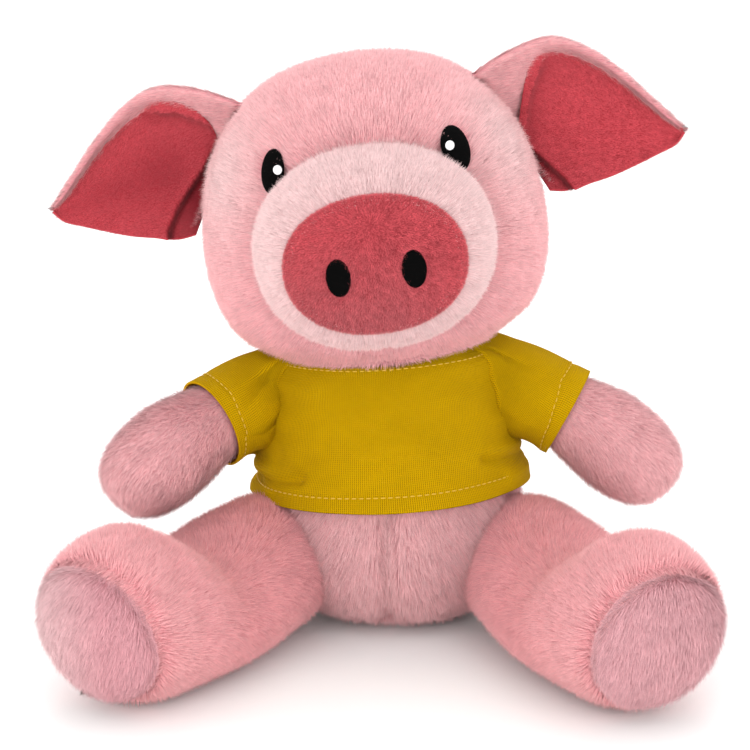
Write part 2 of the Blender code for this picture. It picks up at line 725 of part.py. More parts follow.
def leg_ring(side, row, count, reach=0.0, spread=1.0):
    """Ring of the leg, sagging inwards at its foot and leaned by the sole's pitch.

    The sole's own rings are moved on by a reach and narrowed by a spread.
    """
    place, along = leg_frame(side)
    across = Z_AXIS.cross(along)
    length, width, top, bottom, lean = row
    pitch = Matrix.Rotation(SOLE_PITCH * lean, 3, across)
    low = LEG_HEIGHT * bottom - (0 if bottom else FLOOR_DIP)
    half = (LEG_HEIGHT * top - low) / 2
    centre = along * LEG_LENGTH * length + Z_AXIS * (low + half - place.z)
    half_width = LEG_HALF_WIDTH * width
    middle = centre + pitch @ along * reach
    sag = across * side * LEG_SAG * 4 * length * (1 - length)
    points = []
    for point in ring(centre, across, pitch @ Z_AXIS, half_width, half, half, count, turn=0.5):
        point += sag * (point.z - centre.z) / half
        point = middle + (point - centre) * spread
        point.z = max(point.z, -place.z)
        points.append(point)
    return points, middle


def leg_rings(side, count, rows, ball_first):
    place, along = leg_frame(side)
    across = Z_AXIS.cross(along)
    rings = sphere_rings(Vector(), along, across, Z_AXIS, HIP_BALL, count, SWEEP_BALL_ROWS, ball_first)
    for points in rings:
        for point in points:
            point.z = max(point.z, -place.z)
    ball = ring(Vector(), across, Z_AXIS, HIP_BALL, HIP_BALL, HIP_BALL, count, turn=0.5)
    rings.append([Vector((point.x, point.y, max(point.z, -place.z))) for point in ball])
    rings += [leg_ring(side, row, count)[0] for row in rows]
    return rings


def build_leg(side, word):
    place, _ = leg_frame(side)
    pivot = add_empty("leg_" + word + "_pivot", Matrix.Translation(place))
    rings = leg_rings(side, LEG_ROUND, LEG_SHARES, HIP_BALL_OPEN)
    skin = add_object("leg_skin_" + word, loft(rings), "plush", pivot)
    solidify(skin, PLUSH)
    rim = LEG_SHARES[-1]
    sole_rings = [leg_ring(side, rim, LEG_ROUND)[0]]
    for reach, spread in SOLE_SHARES:
        sole_rings.append(leg_ring(side, rim, LEG_ROUND, SOLE_DOME * reach, spread)[0])
    middle = leg_ring(side, rim, LEG_ROUND, SOLE_DOME)[1]
    sole = add_object("sole_" + word, loft(sole_rings, None, middle), "sole", pivot)
    solidify(sole, PLUSH)
    cut(sole, add_object("leg_space_" + word, loft(rings, True, True, GAP), None, pivot))
    rows = [LEG_SHARES[at] for at in LEG_FILLING_ROWS]
    plain = leg_rings(side, FILLING_ROUND, rows, HIP_BALL_OPEN)
    add_object("leg_filling_" + word, loft(plain, True, True, CORE), "fibre", pivot)


def leg_sweep(side, word):
    """Room that the hip ball and the thigh sweep as the legs close and open."""
    place, _ = leg_frame(side)
    rings = leg_rings(side, LEG_ROUND, LEG_SHARES[:SWEEP_LEG_ROWS], SWEEP_FIRST)
    wider = ball_room(LEG_ROUND)
    points = [place + point * wider for row in rings[:SWEEP_BALL_ROWS + 1] for point in row]
    for angle in sweep_angles(-LEG_CLOSE, LEG_OPEN):
        turn = Matrix.Rotation(side * angle, 3, "Z")
        points += [place + turn @ point for row in rings[SWEEP_BALL_ROWS + 1:] for point in row]
    return add_object("leg_sweep_" + word, hull(points), None)


def build_neck(neck):
    bm = bmesh.new()
    bmesh.ops.create_uvsphere(bm, u_segments=FILLING_ROUND, v_segments=NECK_RINGS, radius=NECK_RADIUS)
    add_object("neck_filling", finish_mesh(bm), "fibre", neck)
    bm = bmesh.new()
    bmesh.ops.create_uvsphere(bm, u_segments=BODY_ROUND, v_segments=NECK_SPACE_RINGS, radius=NECK_RADIUS)
    ball = add_object("neck_space", finish_mesh(bm, 2 * GAP), None, neck)
    wedges = []
    for word, angle in (("front", NOD_FORWARD), ("back", -NOD_BACK)):
        bm = bmesh.new()
        bmesh.ops.create_cube(bm, size=OVERRUN)
        bmesh.ops.translate(bm, verts=bm.verts, vec=(0, 0, GAP - NECK_RISE - OVERRUN / 2))
        wedge = add_object("nod_space_" + word, finish_mesh(bm), None, neck)
        wedge.matrix_local = Matrix.Rotation(-angle, 4, "X")
        wedges.append(wedge)
    return ball, wedges


def build_tail():
    """Curled tube, its round root end centred on the wag pivot."""
    radius = TAIL_THICKNESS / 2
    _, _, depth = row_at(BODY_SHARES, TAIL_RISE / BODY_HEIGHT)
    place = body_frame(TAIL_RISE) @ Vector((0, BODY_HALF_DEPTH * depth + radius + GAP, 0))
    pivot = add_empty("tail_pivot", Matrix.Translation(place))
    route = [(Vector((0, radius * reach, 0)), thick) for reach, thick in TAIL_END_SHARES]
    route.append((Vector((0, TAIL_STUB, 0)), 1.0))
    steps = round(TAIL_TURNS * TAIL_CURL_STEPS)
    for step in range(1, steps + 1):
        angle = math.tau * step / TAIL_CURL_STEPS
        share = step / steps
        back = TAIL_STUB + TAIL_CURL_PITCH * TAIL_TURNS * share
        curl = Vector((math.cos(angle) - 1, 0, math.sin(angle))) * TAIL_CURL_RADIUS + Y_AXIS * back
        route.append((curl, 1 - TAIL_TAPER_SHARE * share ** 2))
    rings = []
    across = X_AXIS
    for at, (middle, thick) in enumerate(route):
        before = route[max(at - 1, 0)][0]
        after = route[min(at + 1, len(route) - 1)][0]
        along = (after - before).normalized()
        across = (across - along * across.dot(along)).normalized()
        reach = radius * thick
        rings.append(ring(middle, across, along.cross(across), reach, reach, reach, TAIL_ROUND))
    start = Vector((0, -radius, 0))
    end = route[-1][0] + (route[-1][0] - route[-2][0]).normalized() * radius * route[-1][1]
    add_object("tail", loft(rings, start, end), "plush", pivot)
    return place


def sleeve_rings(side):
    """Rings of a sleeve from inside the armhole to its cuff, round the resting arm."""
    place, along = arm_frame(side)
    across = Z_AXIS.cross(along).normalized()
    up = along.cross(across)
    rings = []
    for step in range(SLEEVE_ROWS + 1):
        share = step / SLEEVE_ROWS
        length = -SLEEVE_INSET * (1 - share) + SLEEVE_LENGTH * share
        bend = ARM_BEND * max(length, 0) / ARM_LENGTH
        middle = place + Matrix.Rotation(bend / 2, 3, across) @ along * length
        tilted = Matrix.Rotation(bend, 3, across) @ up
        radius = SLEEVE_ROOT_RADIUS + (SLEEVE_CUFF_RADIUS - SLEEVE_ROOT_RADIUS) * share
        shoulder = SLEEVE_SHOULDER_RADIUS + (SLEEVE_CUFF_RADIUS - SLEEVE_SHOULDER_RADIUS) * share
        points = []
        for at in range(SLEEVE_ROUND):
            angle = math.tau * at / SLEEVE_ROUND
            ripple = SLEEVE_FOLD * math.sin(SLEEVE_FOLDS * angle + 3 * share) * (1 - share)
            high = shoulder if math.sin(angle) > 0 else radius
            points.append(middle + across * math.cos(angle) * (radius + ripple)
                          + tilted * math.sin(angle) * (high + ripple))
        rings.append(points)
    return rings


def shirt_rows(front):
    """Rows of one half of the T-shirt's body, from the hem up to the collar."""
    rows = []
    for step in range(SHIRT_ROWS + 1):
        share = step / SHIRT_ROWS
        rise = HEM_RISE + (COLLAR_RISE - HEM_RISE) * share
        _, width, depth = row_at(BODY_SHARES, rise / BODY_HEIGHT)
        frame = body_frame(rise)
        near_hem = max(0.0, 1 - (rise - HEM_RISE) / FOLD_HEIGHT)
        grow = KNIT + SHIRT_EASE + FOLD_DEPTH + (HEM_EASE - SHIRT_EASE) * near_hem
        row = []
        for at in range(SHIRT_ROUND + 1):
            turn = math.pi * at / SHIRT_ROUND
            angle = turn + math.pi if front else turn
            ripple = FOLD_DEPTH * 0.5 * (math.cos(FOLD_COUNT * turn + 5 * share) - 1)
            ripple *= abs(math.cos(turn)) ** 2
            side = (BODY_HALF_WIDTH * width + grow + ripple) * math.cos(angle)
            fore = (BODY_HALF_DEPTH * depth + grow + ripple) * math.sin(angle)
            fore += -GAP / 2 if front else GAP / 2
            row.append(frame @ Vector((side, fore, 0)))
        rows.append(row)
    return rows


def build_shirt(limb_sweeps, body_space):
    bm = bmesh.new()
    bmesh.ops.create_cube(bm, size=OVERRUN)
    bmesh.ops.translate(bm, verts=bm.verts, vec=(0, 0, OVERRUN / 2))
    over_collar = add_object("over_collar", finish_mesh(bm), None)
    over_collar.matrix_local = body_frame(COLLAR_RISE)
    sleeve_spaces = []
    for side, word in ((-1, "right"), (1, "left")):
        rings = sleeve_rings(side)
        sleeve = add_object("sleeve_" + word, loft(rings), "knit")
        solidify(sleeve, KNIT)
        cut(sleeve, body_space, over_collar)
        sleeve_spaces.append(add_object("sleeve_space_" + word, loft(rings, True, True, GAP), None))
    for front, name in ((True, "shirt_front"), (False, "shirt_back")):
        panel = add_object(name, sheet(shirt_rows(front)), "knit")
        solidify(panel, KNIT)
        cut(panel, *sleeve_spaces, *limb_sweeps)


def build():
    clear_scene()
    neck_place = (body_frame(BODY_HEIGHT + NECK_RISE)
                  @ Matrix.Translation((NECK_SIDE, -NECK_FORWARD, 0)))
    neck = add_empty("neck_pivot", neck_place)
    bpy.context.view_layer.update()
    head_frame = Matrix.Translation(neck_place.translation) @ Matrix.Rotation(-HEAD_TILT, 4, "Y")
    head = add_empty("head_pivot", head_frame)
    bpy.context.view_layer.update()

    neck_space, nod_spaces = build_neck(neck)
    arm_sweeps = [arm_sweep(-1, "right"), arm_sweep(1, "left")]
    leg_sweeps = [leg_sweep(-1, "right"), leg_sweep(1, "left")]
    head_space = add_object("head_space", head_mesh(HEAD_ROUND, HEAD_ROWS, GAP), None, head)
    body_space = add_object("body_space", loft(body_rings(BODY_ROUND, BODY_ROWS, False), True, True, GAP),
                            None)

    build_body([neck_space] + arm_sweeps + leg_sweeps)
    build_head(head, [neck_space] + nod_spaces, head_space)
    axes = {}
    for side, word in ((-1, "right"), (1, "left")):
        axes["ear_" + word] = build_ear(head, head_space, side, word)
        build_arm(side, word)
        build_leg(side, word)
        axes["arm_" + word] = (arm_frame(side)[0], -side * Y_AXIS)
        axes["leg_" + word] = (leg_frame(side)[0], side * Z_AXIS)
    axes["tail"] = (build_tail(), Z_AXIS)
    up = neck_place.to_3x3()
    axes["head_turn"] = (neck_place.translation, up @ Z_AXIS)
    axes["head_nod"] = (neck_place.translation, up @ X_AXIS)
    build_shirt(arm_sweeps + leg_sweeps, body_space)
    for name, (place, axis) in axes.items():
        print(name, "pivot and axis", *(round(value, 5) for value in (*place, *axis)))


build()
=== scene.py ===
"""Dresses the plush pig: combed pile, minky, embroidery and a knitted T-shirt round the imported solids.

Metres, +Z up. The pig faces -Y, so its own right side is at -X.
"""
import math

import bpy
import numpy as np
from mathutils import Matrix, Vector
from mathutils.bvhtree import BVHTree


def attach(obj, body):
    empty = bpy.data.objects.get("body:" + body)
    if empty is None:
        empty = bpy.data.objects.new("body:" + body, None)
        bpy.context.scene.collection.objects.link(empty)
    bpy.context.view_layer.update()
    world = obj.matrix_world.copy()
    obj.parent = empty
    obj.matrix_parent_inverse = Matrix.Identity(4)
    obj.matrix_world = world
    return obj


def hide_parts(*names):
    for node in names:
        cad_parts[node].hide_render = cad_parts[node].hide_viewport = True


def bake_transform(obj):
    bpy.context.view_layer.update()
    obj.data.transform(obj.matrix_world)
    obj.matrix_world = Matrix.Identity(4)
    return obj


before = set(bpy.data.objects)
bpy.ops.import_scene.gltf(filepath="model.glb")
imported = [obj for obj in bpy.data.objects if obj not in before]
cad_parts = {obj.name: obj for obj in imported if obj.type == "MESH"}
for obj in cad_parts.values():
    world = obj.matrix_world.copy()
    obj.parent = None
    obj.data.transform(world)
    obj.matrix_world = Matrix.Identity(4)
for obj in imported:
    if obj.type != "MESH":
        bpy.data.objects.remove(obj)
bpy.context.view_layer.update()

# Camera, at the photograph's angle
CAMERA_TARGET = Vector((-0.0085, 0, 0.098))
CAMERA_DISTANCE = 0.8
CAMERA_RISE = math.radians(12)
CAMERA_LENS = 96
CAMERA_SENSOR = 36

# Cloths: the pile stands between the cloth and the solid's outer face
PILE = 0.0030
KNIT = 0.0010
MINKY = 0.0010
GAP = 0.0003

# Body. Rows of its table are height, half width and half depth, as shares
BODY_HEIGHT = 0.1105
BODY_HALF_WIDTH = 0.0530
BODY_HALF_DEPTH = 0.0470
BODY_LEAN = math.radians(3.3)
BODY_BEND_HEIGHT = 0.0400
BODY_SHARES = (
    (0.000, 0.40, 0.42), (0.030, 0.62, 0.64), (0.090, 0.81, 0.82), (0.180, 0.935, 0.94),
    (0.300, 1.00, 1.00), (0.450, 0.995, 0.99), (0.600, 0.945, 0.94), (0.740, 0.900, 0.90),
    (0.860, 0.865, 0.87), (0.940, 0.815, 0.83), (0.980, 0.770, 0.79), (1.000, 0.720, 0.74),
)
# The belly's seam as side and rise, and the depth and width of its valley and of the dip round it
BELLY_SIDE = -0.0038
BELLY_SEAM = ((-0.0025, 0.075), (BELLY_SIDE, 0.053), (BELLY_SIDE, 0.040), (-0.0036, 0.026),
              (-0.0032, 0.014), (-0.0030, 0.006))
BELLY_PRESSES = ((0.0044, 0.0020), (0.0012, 0.0080))
BELLY_PARTING = 0.03
# How far the body's fur reaches into the T-shirt, and how far back it starts at the throat
FUR_IN_COLLAR = 0.0040
FUR_IN_HEM = 0.002
BARE_THROAT = 0.030

# Neck and head. Rows of its table are height, half width and half depth, as shares
NECK_RADIUS = 0.0240
NECK_SPREAD = 1.25
NECK_SIDE = 0.0025
NECK_FORWARD = 0.0040
NECK_RISE = 0.0015
HEAD_HEIGHT = 0.1160
HEAD_BELOW = 0.0040
HEAD_HALF_WIDTH = 0.0680
HEAD_HALF_DEPTH = 0.0560
HEAD_FORWARD = 0.0020
HEAD_TILT = math.radians(7.2)
HEAD_POWER = 2.1
HEAD_SHARES = (
    (0.000, 0.60, 0.64), (0.055, 0.74, 0.77), (0.115, 0.860, 0.87), (0.200, 0.940, 0.94),
    (0.310, 0.990, 0.99), (0.430, 1.000, 1.00), (0.545, 0.975, 0.985), (0.650, 0.930, 0.945),
    (0.750, 0.850, 0.875), (0.835, 0.745, 0.775), (0.905, 0.610, 0.640), (0.955, 0.450, 0.470),
    (0.988, 0.235, 0.250), (1.000, 0.000, 0.000),
)
CHIN_DRAW = 0.0023
CHIN_DRAW_HEIGHT = 0.014
FACE_FORE = -0.020
FACE_TOP = 0.100
CROWN_BOTTOM = 0.062
TEMPLE = (0.058, 0.080)
TEMPLE_HALVES = (0.018, 0.026)

# Muzzle and snout
MUZZLE_RISE = 0.0470
MUZZLE_HALF_WIDTH = 0.0440
MUZZLE_HALF_HEIGHT = 0.0365
MUZZLE_REACH = 0.0835
MUZZLE_DROP = 0.0026
MUZZLE_POWER = 2.15
MUZZLE_LEVEL_SHARE = 0.60
# Rows of reach from the neck pivot, half width and half height, as shares
MUZZLE_SHARES = (
    (0.40, 0.970, 0.970), (0.52, 1.000, 1.010), (0.62, 1.022, 1.025), (0.74, 1.000, 0.995),
    (0.85, 0.945, 0.930), (0.93, 0.875, 0.835), (0.975, 0.800, 0.738), (1.00, 0.732, 0.662),
)
SNOUT_DOME = 0.0045
SNOUT_SINK = 0.0004
SNOUT_WALL = 0.003
NOSTRIL_SIDE = 0.0134
NOSTRIL_RISE = 0.0418
NOSTRIL_HALVES = (0.0044, 0.0068)
NOSTRIL_DIP = 0.0012
NOSTRIL_LIFT = 0.0002
NOSTRIL_DOME = 0.0006
MUZZLE_GROOVE = 0.0014
CHIN_SEAM_DEPTH = 0.0012
CHIN_SEAM_WIDTH = 0.0016
CHIN_SEAM_REACH = 0.0030
MUZZLE_FUR_TUCK = 0.004

# Eyes
EYE_SIDE = 0.0338
EYE_RISE = 0.0776
EYE_HALVES = {-1: (0.0043, 0.0081), 1: (0.0052, 0.0085)}
EYE_SLANT = math.radians(12)
EYE_SINK = 0.0010
EYE_DIP = 0.0006
EYE_DOME = 0.0012
HIGHLIGHT_RADIUS = 0.0017
HIGHLIGHT_RISE = {-1: 0.0006, 1: 0.0016}
HIGHLIGHT_SIDE = 0.0020
HIGHLIGHT_LIFT = 0.0004
HIGHLIGHT_DOME = 0.0004
# Rings of a stitched oval from its hidden wall to its middle: share of its spread and of its dome
PATCH_SHARES = ((1.0, -1.0), (1.0, 0.0), (0.97, 0.35), (0.86, 0.65), (0.7, 0.82), (0.45, 0.95), (0.2, 1.0))
PATCH_WALL = 0.0012

# Ears. Rows of their table are top side, top rise, low side, low rise and cup, as shares
EAR_ROOT_SIDE = 0.0455
EAR_REACH = 0.0770
EAR_BASE_RISE = 0.0525
EAR_HEIGHT = 0.0580
EAR_CUP = 0.0130
EAR_SWEEP = 0.0060
EAR_SHARES = (
    (0.000, 0.830, 0.310, 0.020, 1.00), (0.190, 0.945, 0.400, 0.005, 1.00),
    (0.385, 0.995, 0.500, 0.035, 0.85), (0.555, 0.900, 0.625, 0.065, 0.65),
    (0.710, 0.725, 0.760, 0.120, 0.45), (0.840, 0.535, 0.865, 0.170, 0.28),
    (0.945, 0.380, 0.950, 0.215, 0.14), (1.000, 0.305, 1.000, 0.295, 0.05),
)
# How far back each layer and the tip lie from the ear's middle
EAR_BACK = 0.0016
EAR_UNDER = 0.0002
EAR_TIP = -0.0006
EAR_LINING = -0.0014
EAR_RIM = -0.0030
# How much the rim is rounded, how high its edge stands, and the height below which it thins
EAR_ROLL = 0.0018
EAR_EDGE = 0.0014
EAR_TAPER = 0.012
# Share of each ear's height down to which the plush rim rolls forward, from root to tip
RIM_SHARES = {
    -1: ((0.00, 0.50), (0.06, 0.66), (0.12, 0.78), (0.20, 0.85), (0.32, 0.875), (0.50, 0.87), (0.70, 0.83),
         (0.86, 0.76), (1.00, 0.60)),
    1: ((0.00, 0.34), (0.08, 0.52), (0.16, 0.74), (0.22, 0.87), (0.32, 0.90), (0.50, 0.885), (0.70, 0.84),
        (0.86, 0.77), (1.00, 0.62)),
}
# Folds of each lining as lines of side and rise in the head's frame, the raised side, height and reach
EAR_FOLDS = {
    -1: ((((0.0790, 0.0470), (0.0800, 0.0560), (0.0750, 0.0650), (0.0680, 0.0730), (0.0620, 0.0800)),
          -1, 0.0040, 0.0140),
         (((0.0480, 0.0850), (0.0580, 0.0945), (0.0680, 0.1005), (0.0760, 0.1020)), 1, 0.0016, 0.0050)),
    1: ((((0.0810, 0.0480), (0.0760, 0.0570), (0.0690, 0.0650), (0.0620, 0.0720), (0.0580, 0.0760)),
         -1, 0.0040, 0.0140),
        (((0.0620, 0.0760), (0.0655, 0.0900), (0.0705, 0.1010)), 1, 0.0016, 0.0040)),
}
EAR_FOLD_EDGE = 0.0011
# Painted shade on each lining at its root and along its hollow, and how its folds change it: painted shade
# below each fold's edge, less on its raised side
EAR_SHADES = {-1: (0.60, 0.80), 1: (0.12, 0.08)}
FOLD_SHADE = 0.8
FOLD_LIGHT_REACH = 0.012
FOLD_DARK_REACH = 0.0045

# Arms. Rows of their table are length and radius, as shares
SHOULDER_SIDE = 0.0460
SHOULDER_RISE = 0.0925
SHOULDER_FORWARD = 0.0040
ARM_LENGTH = 0.0800
ARM_RADIUS = 0.0205
ARM_BEND = math.radians(34)
ARM_DROP = {-1: math.radians(8), 1: math.radians(15)}
ARM_TURN = {-1: math.radians(36), 1: math.radians(10)}
ARM_UNDER_SLEEVE = 0.0036
ARM_SHARES = (
    (0.000, 0.805), (0.150, 0.815), (0.330, 0.820), (0.430, 0.885), (0.560, 0.980),
    (0.700, 0.990), (0.820, 0.910), (0.915, 0.730), (0.978, 0.420), (1.000, 0.000),
)

# Legs. Rows of their table are length, half width, top, bottom and lean, as shares
HIP_SIDE = 0.0480
HIP_FORWARD = 0.0160
HIP_BALL = 0.0270
LEG_LENGTH = 0.1200
LEG_TOP = 0.0640
LEG_HALF_WIDTH = 0.0300
LEG_SAG = 0.0070
LEG_SPLAY = {-1: math.radians(29.5), 1: math.radians(21)}
SOLE_PITCH = math.radians(12)
SOLE_DOME = 0.0120
SOLE_SEAM_DEPTH = 0.0009
RIM_SEAM_DEPTH = 0.0003
FLOOR_SKIN = 0.0004
# A crease over each shin as side and rise seen from the front
LEG_CREASES = {
    -1: ((-0.0836, 0.0560), (-0.0780, 0.0480), (-0.0730, 0.0400), (-0.0706, 0.0320)),
    1: ((0.0587, 0.0540), (0.0545, 0.0470), (0.0490, 0.0390), (0.0445, 0.0320)),
}
LEG_CREASE_DEPTH = 0.0012
LEG_CREASE_WIDTH = 0.0060
LEG_SHARES = (
    (-0.120, 0.600, 0.640, 0.20, 0.0), (0.000, 0.900, 0.842, 0.0, 0.0),
    (0.150, 0.930, 0.830, 0.0, 0.0), (0.290, 0.970, 0.785, 0.0, 0.0), (0.410, 0.985, 0.740, 0.0, 0.0),
    (0.510, 0.985, 0.750, 0.0, 0.0), (0.610, 0.990, 0.865, 0.0, 0.0), (0.710, 1.000, 0.970, 0.0, 0.1),
    (0.800, 1.000, 1.000, 0.0, 0.3), (0.880, 0.985, 0.990, 0.005, 0.6), (0.940, 0.950, 0.965, 0.022, 0.85),
    (0.970, 0.905, 0.930, 0.045, 1.0),
)
# Rows of a sole from its rim to its middle are reach and spread, as shares
SOLE_SHARES = ((0.00, 1.00), (0.24, 0.95), (0.45, 0.86), (0.68, 0.71), (0.85, 0.53), (0.95, 0.30))

# Tail
TAIL_RISE = 0.0300
TAIL_THICKNESS = 0.0068
TAIL_CURL_RADIUS = 0.0085
TAIL_CURL_PITCH = 0.0095
TAIL_TURNS = 1.25
TAIL_STUB = 0.0060
TAIL_TAPER_SHARE = 0.45
TAIL_SKIN = 0.0014
TAIL_STEPS = 40

# T-shirt
HEM_RISE = 0.0545
COLLAR_RISE = 0.1115
SHIRT_EASE = 0.0026
SIDE_WAVE = 0.0007
SIDE_WAVE_PITCH = 0.0125
BROAD_WAVE = 0.0005
BROAD_WAVE_PITCH = 0.021
HEM_FLARE = 0.0011
HEM_FLARE_RISE = 0.02
SLEEVE_LENGTH = 0.0288
SLEEVE_SHARE = SLEEVE_LENGTH / ARM_LENGTH
SLEEVE_BEND_START = 0.004
CUFF_RADIUS = 0.0171
RAGLAN_FLOW = 1.6
# The seam round a sleeve's root, as rises and degrees forward of the side
RAGLAN_RISES = (0.0685, 0.0720, 0.0800, 0.0880, 0.0965, COLLAR_RISE)
RAGLAN_DEGREES = (0, 5, 12, 20, 26, 30)
BAND = 0.0060
NECK_BAND = 0.0032
SEAM_GROOVE = 0.0004
SEAM_SPREAD = 0.006
BAND_SPREAD = 0.0007
SLEEVE_TUCK = 0.0020
SLEEVE_FOLD = 0.0015
SLEEVE_ROOT_FOLD = 0.0013
SLEEVE_WELD = 0.00002
STITCH_PITCH = 0.0028
STITCH_LENGTH = 0.0019
STITCH_THICKNESS = 0.00055
STITCH_LIFT = 0.0003
# Folds of the shirt's body as lines of degrees round it and rise, their depth and width
SHIRT_FOLDS = (
    (((160, 0.0610), (180, 0.0605), (205, 0.0630), (228, 0.0665)), 0.0024, 0.0026),
    (((160, 0.0670), (180, 0.0660), (205, 0.0690), (225, 0.0720)), -0.0013, 0.0036),
    (((165, 0.0570), (180, 0.0565), (210, 0.0580)), -0.0012, 0.0026),
    (((196, 0.0800), (225, 0.0790), (255, 0.0780), (275, 0.0785)), -0.0008, 0.0048),
    (((215, 0.0710), (245, 0.0700), (270, 0.0705)), 0.0006, 0.0044),
    (((20, 0.0655), (0, 0.0645), (-25, 0.0665), (-45, 0.0695)), 0.0024, 0.0026),
    (((15, 0.0600), (0, 0.0590), (-30, 0.0605)), -0.0014, 0.0030),
    (((0, 0.0700), (-25, 0.0720), (-45, 0.0755)), -0.0010, 0.0036),
)
# How far the cloth stays from an arm's line, and how gently it leaves it
ARM_ROOM = 0.0168
ARM_EASE = 0.0020
WALE = 0.0008
COURSE = 0.0008
THREAD_PITCH = 0.00045

# Studio: the paper's sweep, and each light's place, aim, size and power
PAPER_REACH = 3.0
PAPER_BACK = 1.0
PAPER_BEND = 0.8
PAPER_RISE = 2.5
WORLD_STRENGTH = 1.14
LIGHTS = {
    "key": ((-0.60, -1.05, 0.24), CAMERA_TARGET, 0.7, 6.6),
    "fill": ((0.7, -0.95, 0.20), CAMERA_TARGET, 0.8, 5.2),
    "top": ((0.0, -0.15, 1.15), CAMERA_TARGET, 0.9, 1.0),
    "backdrop": ((0.0, 0.9, 1.9), Vector((0, 2.0, 0.6)), 1.6, 12.0),
}

# Strands of pile on a square metre of cloth, how far they stay over the floor, and how much of their
# own facing their shading keeps
STRANDS = 9.0e6
FLOOR_ROOM = 0.0003
STRAND_FACING = 0.08
# How the strands differ, as shares of their lift, length and width, and how far they roll
LIFT_SPREAD = (0.55, 1.45)
LENGTH_SPREAD = (0.7, 1.2)
WIDTH_SPREAD = (0.7, 1.3)
ROLL = 0.6

SIDES = ((-1, "right"), (1, "left"))
X_AXIS, Y_AXIS, Z_AXIS = np.eye(3)
TABLE_STEPS = 600


def linear(colour):
    """sRGB hex to linear channels."""
    channels = [int(colour[at:at + 2], 16) / 255 for at in (0, 2, 4)]
    return (*[c / 12.92 if c <= 0.04045 else ((c + 0.055) / 1.055) ** 2.4 for c in channels], 1)


def add_node(tree, kind, inputs=(), **settings):
    """Adds a node. An input takes a plain value or another node's output."""
    made = tree.nodes.new(kind)
    for name, value in settings.items():
        setattr(made, name, value)
    for key, value in dict(inputs).items():
        if isinstance(value, bpy.types.NodeSocket):
            tree.links.new(value, made.inputs[key])
        else:
            made.inputs[key].default_value = value
    return made


def math_node(tree, operation, *values):
    """What a math node makes of its values."""
    return add_node(tree, "ShaderNodeMath", dict(enumerate(values)), operation=operation).outputs[0]


def vector_node(tree, operation, first, second):
    """What a vector math node makes of two vectors, or for SCALE of a vector and a number."""
    key = "Scale" if operation == "SCALE" else 1
    return add_node(tree, "ShaderNodeVectorMath", {0: first, key: second}, operation=operation).outputs[0]


def random_node(tree, low, high, seed):
    """A number drawn for each strand, or a vector where the limits are vectors."""
    first, kind = (0, "FLOAT_VECTOR") if isinstance(low, tuple) else (2, "FLOAT")
    made = add_node(tree, "FunctionNodeRandomValue", {first: low, first + 1: high, "Seed": seed},
                    data_type=kind)
    return made.outputs[first // 2]


def noise_node(tree, place, scale, **more):
    """The outputs of a noise texture: its strength first, and its colour."""
    return add_node(tree, "ShaderNodeTexNoise", {"Vector": place, "Scale": scale, **more}).outputs


def map_node(tree, value, low=0.0, high=1.0, to_low=0.0, to_high=1.0):
    """A value taken from one range to another."""
    return add_node(tree, "ShaderNodeMapRange", {0: value, 1: low, 2: high, 3: to_low, 4: to_high}).outputs[0]


def mix_node(tree, share, first, second):
    """A colour between two others."""
    mixed = add_node(tree, "ShaderNodeMix", {"Factor": share, 6: first, 7: second}, data_type="RGBA")
    return mixed.outputs[2]


def object_place(tree):
    return add_node(tree, "ShaderNodeTexCoord").outputs["Object"]


def new_material(name, roughness, specular=0.25, sheen=0.0, sheen_roughness=0.5, sheen_tint="FFFFFF"):
    made = bpy.data.materials.new(name)
    made.use_nodes = True
    shader = made.node_tree.nodes["Principled BSDF"]
    for key, value in (("Roughness", roughness), ("Specular IOR Level", specular), ("Sheen Weight", sheen),
                       ("Sheen Roughness", sheen_roughness), ("Sheen Tint", linear(sheen_tint))):
        shader.inputs[key].default_value = value
    return made, made.node_tree, shader


def dye(tree, shader, strength, colour):
    """Gives a shader its colour, made darker or lighter by a strength."""
    dyed = add_node(tree, "ShaderNodeHueSaturation", {"Value": strength, "Color": colour})
    tree.links.new(dyed.outputs[0], shader.inputs["Base Color"])


def emboss(tree, shader, height, strength, distance):
    """Gives a shader fine relief."""
    bump = add_node(tree, "ShaderNodeBump", {"Strength": strength, "Distance": distance, "Height": height})
    tree.links.new(bump.outputs[0], shader.inputs["Normal"])


def smooth_rows(rows, at):
    """Smooth curve through rows of numbers, at places counted in rows."""
    table = np.array(rows, float)
    at = np.asarray(at, float)
    first = np.clip(at.astype(int), 0, len(table) - 2)
    part = (at - first)[..., None]
    a = table[np.maximum(first - 1, 0)]
    b = table[first]
    c = table[first + 1]
    d = table[np.minimum(first + 2, len(table) - 1)]
    return b + 0.5 * part * (c - a + part * (2 * a - 5 * b + 4 * c - d + part * (3 * (b - c) + d - a)))


def even_rows(rows, count):
    """A table's smooth curve as a number of rows, evenly through it."""
    return smooth_rows(rows, np.linspace(0, len(rows) - 1, count))


def rows_at(rows, shares):
    """Rows of a table whose first column is each of the given shares."""
    at = np.linspace(0, len(rows) - 1, TABLE_STEPS)
    return smooth_rows(rows, np.interp(shares, smooth_rows(rows, at)[:, 0], at))


def unit(vectors):
    return vectors / np.maximum(np.linalg.norm(vectors, axis=-1, keepdims=True), 1e-12)


def turned(vector, axis, angle):
    """A vector turned about an axis."""
    return np.array(Matrix.Rotation(angle, 3, Vector(axis)) @ Vector(vector))


def ring(centre, across, up, half_across, half_up, count, power=2.0):
    """Oval of points; a power over 2 squares it off."""
    angles = math.tau * np.arange(count) / count
    side, rise = [half * np.sign(part) * np.abs(part) ** (2 / power)
                  for half, part in ((half_across, np.cos(angles)), (half_up, np.sin(angles)))]
    return centre + side[:, None] * across + rise[:, None] * up


